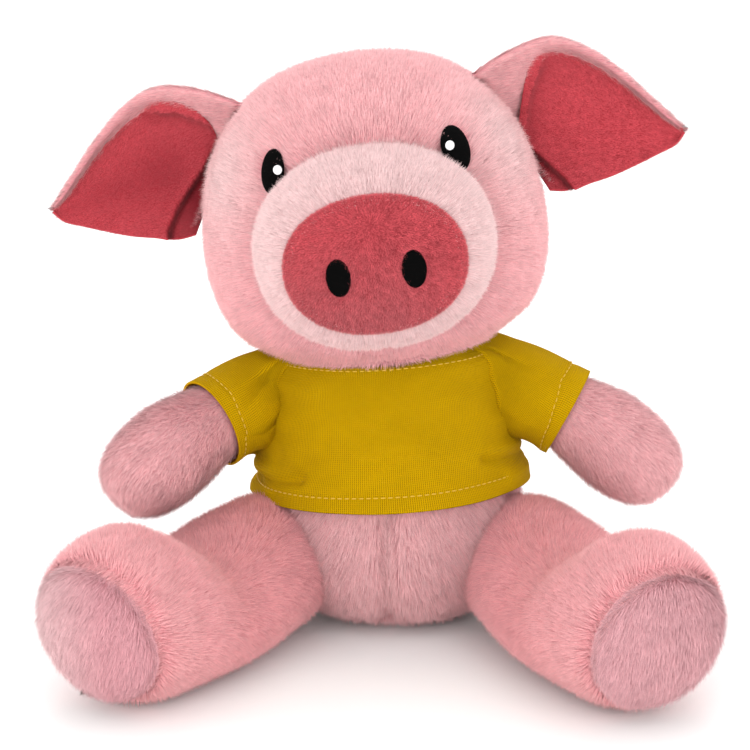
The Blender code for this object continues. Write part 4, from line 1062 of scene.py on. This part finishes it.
def make_ear(side, word):
    body = "ear_" + word
    along = np.linspace(-0.05, 0.992, 74)
    rim = rows_at(RIM_SHARES[side], np.maximum(along, 0))[:, 1]
    # Round the ear: up its back, over the rolled top edge, down the front of the rim and under the lining
    back = np.linspace(0.0, 1.0, 26)
    rings = []
    for at, low in zip(along, rim):
        height = np.linalg.norm(ear_places(side, at, 1.0, 0) - ear_places(side, at, 0.0, 0))
        thin = min(1, height / EAR_TAPER)
        front = np.linspace(1.0, low, 16)
        under = np.linspace(low + 0.02, 0.0, 18)
        outer, roll, inner = [ear_places(side, np.full(len(shares), at), shares, depth) for shares, depth in (
            (back, EAR_BACK * thin), (front, EAR_RIM * thin), (under, EAR_UNDER))]
        swell = np.sin(math.pi * np.clip(np.linspace(0.0, 1.0, len(front)) + 0.15, 0, 1))
        roll[:, 1] += EAR_ROLL * thin * (1 - swell)
        rise = unit(outer[-1] - outer[-3]) * EAR_EDGE * thin
        rings.append(np.concatenate([outer, [outer[-1] * 0.5 + roll[0] * 0.5 + rise], roll, inner]))
    # The right ear's rings run the other way round
    rings = np.array(rings)[:, ::side]
    tip = ear_places(side, 1.0, 0.5, EAR_TIP)
    shell = loft("ear_cloth_" + word, in_head(rings), in_head(rings[0].mean(0)), in_head(tip))
    outward = turned_with_head(unit(ear_places(side, 1.0, 0.5, 0) - ear_places(side, 0.0, 0.5, 0)))
    shown = np.arange(rings.shape[1]) < len(back) + 1 + len(front)
    cover = np.concatenate([np.tile(shown[::side], len(along)), [0, 1]])
    local = from_head(places(shell))
    _, width, depth = head_rows(np.clip((local[:, 2] + HEAD_BELOW) / (HEAD_HEIGHT + HEAD_BELOW), 0, 1))
    cover[(local[:, 0] / width) ** 2 + ((local[:, 1] + HEAD_FORWARD) / depth) ** 2 < 0.80] = 0
    comb_cloth(shell, tangent(shell, outward + Z_AXIS * 0.25), cover, 0.15)
    add_padded("ear_cloth_" + word, shell, body, backing, nodes=("ear_back_" + word,))
    grow_fur("ear_fur_" + word, shell, body, pink_fur, length=0.0036, width=0.00022,
             lift=18, clump=0.004, seed=41 + side)
    make_lining(side, word, outward)


def make_lining(side, word, outward):
    """Minky from an ear's lower edge up under its rim, folded at the root, with painted shade at its root,
    along its hollow and under its folds.
    """
    body = "ear_" + word
    at, over = np.meshgrid(np.linspace(-0.03, 0.985, 110), np.linspace(0.0, 1.0, 60), indexing="ij")
    high = rows_at(RIM_SHARES[side], np.maximum(at[:, 0], 0))[:, 1][:, None] + 0.06
    shares = over * np.minimum(high, 1.0)
    sheet = ear_places(side, at, shares, EAR_LINING)
    flat = sheet[..., [0, 2]].reshape(-1, 2) * np.array((side, 1))
    root_shade, hollow_shade = EAR_SHADES[side]
    # Painted shade: darker towards the root and along the hollow, far stronger on the right ear
    painted_shade = root_shade * np.clip(1 - at / 0.45, 0, 1) ** 1.5
    hollow_painted_shade = hollow_shade * np.clip(1.15 - at, 0, 1)
    painted_shade = (painted_shade + hollow_painted_shade * np.exp(-((shares - 0.38) / 0.24) ** 2)).ravel()
    lift = np.zeros(len(flat))
    for line, raised, depth, reach in EAR_FOLDS[side]:
        away, sign = beside(flat, line)
        away = away * raised * sign
        lift += depth * np.where(away > 0, np.exp(-away / reach), np.exp(-(away / EAR_FOLD_EDGE) ** 2))
        # Painted shade below each fold's edge; the raised side loses its painted shade
        painted_shade = np.where(away > 0, painted_shade * (1 - FOLD_SHADE * np.exp(-away / FOLD_LIGHT_REACH)),
                        np.maximum(painted_shade, FOLD_SHADE * np.exp(away / FOLD_DARK_REACH)))
    sheet[..., 1] -= lift.reshape(at.shape)
    lining = grid("ear_lining_cloth_" + word, in_head(sheet[:, ::-side]))
    tone = np.clip(painted_shade.reshape(at.shape)[:, ::-side], 0, 1).ravel()
    comb_cloth(lining, tangent(lining, outward - Z_AXIS * 0.4), 1, tone)
    grow_fur("ear_pile_" + word, lining, body, red_pile, strands=2.4, length=0.0013,
             width=0.00018, lift=45, clump=0.0020, clumping=1.0, unruliness=0.35, seed=45 + side)
    add_sheet("ear_lining_cloth_" + word, lining, MINKY, body, ear_minky, "ear_lining_" + word)


def thickened(name, sheet, wall, weld=None):
    """A sheet given its wall, with its edges joined where a weld distance is given."""
    host = add_piece(name + "_host", sheet, None)
    if weld:
        host.modifiers.new("join", "WELD").merge_threshold = weld
    thick = host.modifiers.new("wall", "SOLIDIFY")
    thick.thickness = wall
    thick.offset = -1
    mesh = evaluated(host)
    mesh.name = name
    return mesh


def add_sheet(name, sheet, wall, body, material, node):
    """A piece of cloth in place of a node's solid."""
    piece = add_piece(name, thickened(name, sheet, wall), body, material)
    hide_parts(node)


def beside(flat, line):
    """How far flat points lie from a line, and on which side of it."""
    line = np.asarray(line, float)
    nearest = np.full(len(flat), np.inf)
    sign = np.ones(len(flat))
    for start, end in zip(line, line[1:]):
        step = end - start
        share = np.clip((flat - start) @ step / (step @ step), 0, 1)
        off = flat - start - share[:, None] * step
        far = np.linalg.norm(off, axis=1)
        turn = step[0] * off[:, 1] - step[1] * off[:, 0]
        closer = far < nearest
        nearest = np.where(closer, far, nearest)
        sign = np.where(closer, np.sign(turn), sign)
    return nearest, sign


def arm_frame(side):
    """Where an arm's line starts and which way it leaves."""
    forward = ARM_TURN[side]
    drop = ARM_DROP[side]
    middle = body_middle(SHOULDER_RISE)
    lean = np.array((math.cos(BODY_LEAN), 0, math.sin(BODY_LEAN)))
    place = middle + side * SHOULDER_SIDE * lean - Y_AXIS * SHOULDER_FORWARD
    level = np.array((side * math.cos(forward), -math.sin(forward), 0))
    return place, level * math.cos(drop) - Z_AXIS * math.sin(drop)


def arm_line(side, lengths):
    """The arm's middle line, with its up and across directions, at shares of its length."""
    place, along = arm_frame(side)
    across = unit(np.cross(Z_AXIS, along))
    up = np.cross(along, across)
    spots = [place + along * ARM_LENGTH * lengths[0]]
    ups = [up]
    before = lengths[0]
    for length in lengths[1:]:
        way = turned(along, across, ARM_BEND * (length + before) / 2)
        spots.append(spots[-1] + way * ARM_LENGTH * (length - before))
        ups.append(turned(up, across, ARM_BEND * length))
        before = length
    return np.array(spots), across, np.array(ups)


ARM_LINES = {side: arm_line(side, np.linspace(-0.10, 0.42, 40))[0] for side in (-1, 1)}


def make_arm(side, word):
    body = "arm_" + word
    count = 90
    rows = even_rows(ARM_SHARES, 70)
    lengths = rows[:, 0]
    spots, across, ups = arm_line(side, lengths)
    radii = ARM_RADIUS * np.maximum(rows[:, 1], 0)
    rings = [ring(spot, across, up, radius, radius, count)
             for spot, up, radius in zip(spots[:-1], ups, radii)]
    cloth = loft("arm_cloth_" + word, rings, spots[0], spots[-1])
    ways = unit(np.gradient(spots, axis=0))
    way = np.concatenate([np.repeat(ways[:-1], count, axis=0), [ways[0], ways[-1]]])
    length = np.concatenate([np.repeat(lengths[:-1], count), [lengths[0], 1]])
    sleeved = np.clip((SLEEVE_SHARE - 0.05 - length) / 0.12, 0, 1)
    raise_by(cloth, -PILE - ARM_UNDER_SLEEVE * sleeved)
    tip_down = np.clip((length - 0.85) / 0.15, 0, 1)[:, None]
    comb_cloth(cloth, tangent(cloth, way - Z_AXIS * (0.25 + tip_down)), length > SLEEVE_SHARE - 0.07, 0.18)
    add_padded("arm_cloth_" + word, cloth, body, backing,
               nodes=("arm_skin_" + word, "arm_filling_" + word))
    grow_fur("arm_fur_" + word, cloth, body, pink_fur, length=0.0048, seed=51 + side)


def leg_frame(side):
    """Where a leg's line starts and which way it lies."""
    splay = LEG_SPLAY[side]
    place = np.array((side * HIP_SIDE, -HIP_FORWARD, HIP_BALL))
    return place, np.array((side * math.sin(splay), -math.cos(splay), 0))


def leg_ring(side, row, count, reach=0.0, spread=1.0):
    """Ring of the leg, sagging inwards at its foot and leaned by the sole's pitch."""
    place, along = leg_frame(side)
    across = np.cross(Z_AXIS, along)
    length, width, top, bottom, lean = row
    low = LEG_TOP * bottom
    half = (LEG_TOP * top - low) / 2
    centre = place * (1, 1, 0) + along * LEG_LENGTH * length + Z_AXIS * (low + half)
    forward = turned(along, across, SOLE_PITCH * lean)
    up = turned(Z_AXIS, across, SOLE_PITCH * lean)
    points = ring(centre, across, up, LEG_HALF_WIDTH * width, half, count)
    sag = across * side * LEG_SAG * 4 * length * (1 - length)
    points = points + sag * ((points[:, 2:] - centre[2]) / half)
    points = centre + forward * reach + (points - centre) * spread
    points[:, 2] = np.maximum(points[:, 2], 0)
    return points, centre + forward * reach


def make_leg(side, word):
    body = "leg_" + word
    count = 120
    _, along = leg_frame(side)
    rows = even_rows(LEG_SHARES, 80)
    rings = [leg_ring(side, row, count)[0] for row in rows]
    cloth = loft("leg_cloth_" + word, rings, rings[0].mean(0))
    rim_share = np.append(np.repeat(rows[:, 0], count), rows[0, 0])
    raise_by(cloth, -PILE - RIM_SEAM_DEPTH * np.exp(-((0.985 - rim_share) / 0.012) ** 2))
    press(cloth, finer(on_front(cloth, LEG_CREASES[side])), LEG_CREASE_DEPTH, LEG_CREASE_WIDTH)
    points = places(cloth)
    outward = np.cross(Z_AXIS, along) * side
    over_floor = np.clip(points[:, 2:] / 0.02, 0, 1)
    shin = over_floor * np.clip((0.80 - rim_share) / 0.25, 0, 1)[:, None]
    comb = tangent(cloth, outward * 0.35 - along * (0.6 - 0.25 * shin) - Z_AXIS * 0.5 * shin)
    edge = np.clip((rim_share - 0.90) / 0.07, 0, 1)
    bare = (points[:, 2] > FLOOR_SKIN).astype(float)
    comb_cloth(cloth, comb, bare * (1 - 0.8 * edge), 0.05 + 0.15 * np.clip((rim_share - 0.5) / 0.4, 0, 1))
    add_padded("leg_cloth_" + word, cloth, body, backing,
               nodes=("leg_skin_" + word, "leg_filling_" + word))
    grow_fur("leg_fur_" + word, cloth, body, shaded_pink_fur, length=0.0048, lift=32,
             unruliness=0.20, seed=61 + side)
    # A fringe lies over the sole's seam
    inwards = unit(rings[-1].mean(0) - points)
    give(cloth, "comb", tangent(cloth, along + inwards * 0.3))
    grow_fur("leg_fringe_" + word, cloth, body, shaded_pink_fur, length=0.0046, lift=14,
             seed=65 + side, cover=bare * edge)

    rim = LEG_SHARES[-1]
    shares = even_rows(SOLE_SHARES, 34)
    rings = [leg_ring(side, rim, count, SOLE_DOME * reach, spread)[0] for reach, spread in shares]
    sole = loft("sole_cloth_" + word, rings, None, leg_ring(side, rim, count, SOLE_DOME)[1])
    spread = np.append(np.repeat(shares[:, 1], count), 0)
    raise_by(sole, -PILE * 0.9 - SOLE_SEAM_DEPTH * np.exp(-((1 - spread) / 0.05) ** 2))
    points = places(sole)
    over_floor = np.clip(points[:, 2:] / 0.012, 0, 1)
    # The right sole pales towards its outer edge
    tone = np.clip(-points[:, 0] / 0.05 - 2.0, 0.02, 1) if side < 0 else 0.12
    comb_cloth(sole, tangent(sole, -Z_AXIS * over_floor - X_AXIS * 0.3), points[:, 2] > FLOOR_SKIN, tone)
    add_padded("sole_cloth_" + word, sole, body, backing, nodes=("sole_" + word,))
    grow_fur("sole_fur_" + word, sole, body, sole_fur, strands=1.2, lift=26,
             clumping=0.5, seed=71 + side)


def make_tail():
    radius = TAIL_THICKNESS / 2
    count = 28
    place = body_point(math.pi / 2, TAIL_RISE, radius + GAP)
    route = [place - Y_AXIS * radius, place + Y_AXIS * TAIL_STUB * 0.4, place + Y_AXIS * TAIL_STUB]
    thick = [0.9, 1.0, 1.0]
    for step in range(1, TAIL_STEPS + 1):
        share = step / TAIL_STEPS
        angle = math.tau * TAIL_TURNS * share
        curl = np.array((math.cos(angle) - 1, 0, math.sin(angle))) * TAIL_CURL_RADIUS
        route.append(place + curl + Y_AXIS * (TAIL_STUB + TAIL_CURL_PITCH * TAIL_TURNS * share))
        thick.append(1 - TAIL_TAPER_SHARE * share ** 2)
    route = np.array(route)
    ways = unit(np.gradient(route, axis=0))
    across = X_AXIS
    rings = []
    for spot, way, width in zip(route, ways, thick):
        across = unit(across - way * (across @ way))
        reach = (radius - TAIL_SKIN) * width
        rings.append(ring(spot, across, np.cross(way, across), reach, reach, count))
    cloth = loft("tail_cloth", rings, route[0], route[-1] + ways[-1] * radius * 0.4)
    way = np.concatenate([np.repeat(ways, count, axis=0), [ways[0], ways[-1]]])
    comb_cloth(cloth, tangent(cloth, way), 1, 0.1)
    add_padded("tail_cloth", cloth, "tail", backing, nodes=("tail",))
    grow_fur("tail_fur", cloth, "tail", pink_fur, length=0.0030, width=0.0002,
             lift=22, seed=81)


def clear_of_arms(points):
    """Cloth pushed out to where an arm under it lets it lie."""
    points = points.copy()
    for side in (-1, 1):
        spots = ARM_LINES[side]
        away = points[..., None, :] - spots
        far = np.linalg.norm(away, axis=-1)
        nearest = far.argmin(-1)
        near = np.take_along_axis(far, nearest[..., None], -1)[..., 0]
        way = np.take_along_axis(away, nearest[..., None, None], -2)[..., 0, :] / near[..., None]
        short = ARM_ROOM - near
        push = np.where(short > -ARM_EASE, (short + ARM_EASE) ** 2 / (4 * ARM_EASE), 0)
        push = np.where(short > ARM_EASE, short, push)
        points += way * push[..., None]
    return points


def shirt_point(angle, rise):
    """Places on the T-shirt's body, eased, folded and banded."""
    rise, angle = np.broadcast_arrays(rise, angle)
    at_sides = np.abs(np.cos(angle)) ** 1.5
    wave = SIDE_WAVE * np.sin(rise / SIDE_WAVE_PITCH * math.tau + 1.6 * np.sin(2 * angle)) * at_sides
    broad = BROAD_WAVE * np.sin(rise / BROAD_WAVE_PITCH * math.tau + 2.2 * np.cos(3 * angle + 0.7))
    hem = HEM_FLARE * np.clip(1 - (rise - HEM_RISE) / HEM_FLARE_RISE, 0, 1)
    return clear_of_arms(body_point(angle, rise, SHIRT_EASE + wave + broad + hem))


def make_shirt():
    rise = HEM_RISE + (COLLAR_RISE - HEM_RISE) * np.linspace(0, 1, 74)[:, None]
    over = np.linspace(0, 1, 150)
    inset = np.radians(np.interp(rise, RAGLAN_RISES, RAGLAN_DEGREES))
    for first, word in ((math.pi, "front"), (0.0, "back")):
        start = first + inset
        end = first + math.pi - inset
        angle = start + (end - start) * over
        points = shirt_point(angle, rise)
        panel = grid("shirt_panel_" + word, points)
        flat_rise, flat_angle, from_seam = [np.broadcast_to(part, points.shape[:2]).ravel()
                                            for part in (rise, angle, np.minimum(over, 1 - over))]
        groove = SEAM_GROOVE * np.exp(-(from_seam / SEAM_SPREAD) ** 2) * (flat_rise > RAGLAN_RISES[0])
        fold = SEAM_GROOVE * np.exp(-((flat_rise - HEM_RISE - BAND) / BAND_SPREAD) ** 2)
        raise_by(panel, -groove - fold)
        for line, depth, width in SHIRT_FOLDS:
            degrees, rises = np.array(finer(line)).T
            press(panel, shirt_point(np.radians(degrees), rises), depth, width)
        give_uv(panel, flat_angle * BODY_HALF_WIDTH, flat_rise)
        add_sheet("shirt_panel_" + word, panel, KNIT, "torso", knit, "shirt_" + word)
        hem = shirt_point(np.linspace(first, first + math.pi, 120), HEM_RISE + BAND)
        add_stitches("hem_stitches_" + word, hem, "torso")
        neck = shirt_point(np.linspace(start[-1, 0], end[-1, 0], 100), COLLAR_RISE - NECK_BAND)
        add_stitches("neck_stitches_" + word, neck, "torso")


def sleeve_root(side, count):
    """The seam round a sleeve's root, from the top of the shoulder forward, down and up the back."""
    insets = np.radians(RAGLAN_DEGREES)
    down = np.linspace(RAGLAN_RISES[-1], RAGLAN_RISES[0], 40)
    forward = np.interp(down, RAGLAN_RISES, insets)
    neck = np.linspace(0, forward[0], 12)[:-1]
    top = np.full(len(neck), RAGLAN_RISES[-1])
    angle = np.concatenate([neck, forward, -forward[::-1][1:], -neck[::-1]])
    rise = np.concatenate([top, down, down[::-1][1:], top])
    base = math.tau if side > 0 else math.pi
    points = shirt_point(base - side * angle, rise)
    beyond = shirt_point(base - side * (angle - 0.05 * np.sign(angle)), rise)
    _, along = arm_frame(side)
    ways = unit(along + unit(beyond - points) * RAGLAN_FLOW * np.abs(angle[:, None]) / insets[-1])
    steps = np.append(0, np.cumsum(np.linalg.norm(np.diff(points, axis=0), axis=1)))
    wanted = np.linspace(0, steps[-1], count, endpoint=False)
    both = np.concatenate([points, ways], axis=1)
    both = np.stack([np.interp(wanted, steps, both[:, at]) for at in range(6)], axis=-1)
    return both[:, :3], unit(both[:, 3:])


def make_sleeve(side, word):
    count = 110
    rows = 56
    root, leaving = sleeve_root(side, count)
    spots, across, ups = arm_line(side, np.linspace(0, SLEEVE_SHARE, 12))
    angle = math.tau * np.arange(count) / count
    fore = -across if across[1] > 0 else across
    cuff = (spots[-1] + np.cos(angle)[:, None] * ups[-1] * CUFF_RADIUS
            + np.sin(angle)[:, None] * fore * CUFF_RADIUS)
    arriving = unit(spots[-1] - spots[-2])
    reach = np.linalg.norm(cuff - root, axis=1)[:, None]
    # Each line of the sleeve leaves the seam along the shirt and arrives along the arm
    rings = []
    for share in np.linspace(0, 1, rows):
        h00 = 2 * share ** 3 - 3 * share ** 2 + 1
        h10 = share ** 3 - 2 * share ** 2 + share
        h01 = 3 * share ** 2 - 2 * share ** 3
        h11 = share ** 3 - share ** 2
        rings.append(root * h00 + leaving * reach * 0.8 * h10 + cuff * h01 + arriving * reach * 0.8 * h11)
    rings = np.array(rings)
    rings[0] += unit(np.array((0, 0, SHOULDER_RISE)) - root) * (1, 1, 0) * SLEEVE_TUCK
    share = np.linspace(0, 1, rows)[:, None]
    fold = SLEEVE_FOLD * np.sin(3 * angle[None, :] + 5 * share) * np.sin(math.pi * share)
    fold = fold + SLEEVE_ROOT_FOLD * np.sin(angle[None, :] * 5 + 2.0) * np.exp(-((share - 0.15) / 0.12) ** 2)
    middle = rings.mean(1, keepdims=True)
    rings = clear_of_arms(rings + unit(rings - middle) * fold[..., None])
    band = 1 - BAND / reach.mean()
    groove = SEAM_GROOVE * np.exp(-((share - band) / 0.03) ** 2)
    rings = rings - unit(rings - middle) * groove[..., None]
    # The knit runs along the sleeve, counted from the shoulder's top and from the cuff
    under = count // 2
    order = np.concatenate([rings[:, under:], rings[:, :under + 1]], axis=1)[:, ::-side]
    sleeve = grid("sleeve_cloth_" + word, order)
    across, down = [np.cumsum(np.linalg.norm(np.diff(order, axis=axis, prepend=edge), axis=-1), axis=axis)
                    for axis, edge in ((1, order[:, :1]), (0, order[:1]))]
    give_uv(sleeve, (across - across[:, under:under + 1]).ravel(), (down - down[-1:]).ravel())
    mesh = thickened("sleeve_cloth_" + word, sleeve, KNIT, SLEEVE_WELD)
    piece = add_piece("sleeve_cloth_" + word, mesh, None, knit)
    start = tuple(root.mean(0) + arm_frame(side)[1] * SLEEVE_BEND_START)
    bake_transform(piece)
    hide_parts("sleeve_" + word)
    line = rings[int(band * (rows - 1))]
    stitches = add_stitches("cuff_stitches_" + word, np.concatenate([line, line[:1]]), None,
                            KNIT + STITCH_LIFT)
    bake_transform(stitches)


def stitch_tree():
    """Sets one stitch after another along a line."""
    tree, given = node_tree("topstitch", (
        ("Line", "Geometry"), ("Stitch", "Object"), ("Pitch", "Float"), ("Finish", "Material")))
    curve = add_node(tree, "GeometryNodeMeshToCurve", {"Mesh": given["Line"]})
    even = add_node(tree, "GeometryNodeResampleCurve", {"Curve": curve.outputs[0], "Length": given["Pitch"]},
                    mode="LENGTH")
    way = add_node(tree, "GeometryNodeInputTangent")
    turn = add_node(tree, "FunctionNodeAxesToRotation",
                    {"Primary Axis": way.outputs[0], "Secondary Axis": (0, 0, 1)},
                    primary_axis="X", secondary_axis="Z")
    set_on_points(tree, given, even.outputs[0], given["Stitch"], turn.outputs[0])
    return tree


def stitch_piece():
    """One stitch of thread along X, round and pinched at both ends."""
    rings = []
    for at, girth in ((-0.46, 0.45), (-0.30, 0.9), (0.0, 1.0), (0.30, 0.9), (0.46, 0.45)):
        reach = STITCH_THICKNESS / 2 * girth
        rings.append(ring(X_AXIS * STITCH_LENGTH * at, Y_AXIS, Z_AXIS, reach, reach, 6))
    end = X_AXIS * STITCH_LENGTH / 2
    return add_piece("stitch", loft("stitch", rings, -end, end), None)


TOPSTITCH = stitch_tree()
STITCH = stitch_piece()


def add_stitches(name, line, body, lift=STITCH_LIFT):
    """Topstitching along a line on the cloth, lifted out from the line's middle."""
    line = line + unit(line - line.mean(0)) * lift
    mesh = bpy.data.meshes.new(name)
    mesh.from_pydata(line.tolist(), [(at, at + 1) for at in range(len(line) - 1)], [])
    host = add_piece(name + "_host", mesh, None)
    maker = host.modifiers.new("stitches", "NODES")
    maker.node_group = TOPSTITCH
    set_inputs(maker, {"Stitch": STITCH, "Pitch": STITCH_PITCH, "Finish": shirt_thread})
    made = evaluated(host)
    made.name = name
    piece = add_piece(name, made, body, shirt_thread)
    return piece


def make_studio():
    scene = bpy.context.scene
    camera = bpy.data.objects.new("camera", bpy.data.cameras.new("camera"))
    scene.collection.objects.link(camera)
    back = Vector((0, -math.cos(CAMERA_RISE), math.sin(CAMERA_RISE)))
    camera.location = CAMERA_TARGET + back * CAMERA_DISTANCE
    camera.rotation_euler = (-back).to_track_quat("-Z", "Y").to_euler()
    camera.data.lens = CAMERA_LENS
    camera.data.sensor_width = CAMERA_SENSOR
    scene.camera = camera

    line = [(-PAPER_REACH, 0)]
    for step in range(13):
        turn = math.pi / 2 * step / 12
        line.append((PAPER_BACK + PAPER_BEND * math.sin(turn), PAPER_BEND - PAPER_BEND * math.cos(turn)))
    line.append((PAPER_BACK + PAPER_BEND, PAPER_RISE))
    paper = new_mesh("floor", [(side, y, z) for side in (-PAPER_REACH, PAPER_REACH) for y, z in line],
                     [(at, at + len(line), at + 1 + len(line), at + 1) for at in range(len(line) - 1)])
    # White paper, coated and matt: nearly even
    white = speckled_material("white_paper_sweep", "FBFAF9", 0.9, 400.0, 0.985, 1.0)
    add_piece("floor", paper, None, white)

    scene.world = bpy.data.worlds.new("studio")
    scene.world.use_nodes = True
    background = scene.world.node_tree.nodes["Background"]
    background.inputs[0].default_value = linear("FFFFFF")
    background.inputs[1].default_value = WORLD_STRENGTH
    for name, (place, aim, size, power) in LIGHTS.items():
        light = bpy.data.objects.new(name, bpy.data.lights.new(name, "AREA"))
        scene.collection.objects.link(light)
        light.location = place
        light.rotation_euler = (aim - light.location).to_track_quat("-Z", "Y").to_euler()
        light.data.size = size
        light.data.energy = power
    scene.view_settings.view_transform = "Standard"


make_studio()
make_body()
make_head()
make_muzzle()
make_snout()
for side, word in SIDES:
    make_ear(side, word)
    make_arm(side, word)
    make_leg(side, word)
    make_sleeve(side, word)
make_tail()
make_shirt()
bpy.data.objects.remove(STRAND)
bpy.data.objects.remove(STITCH)
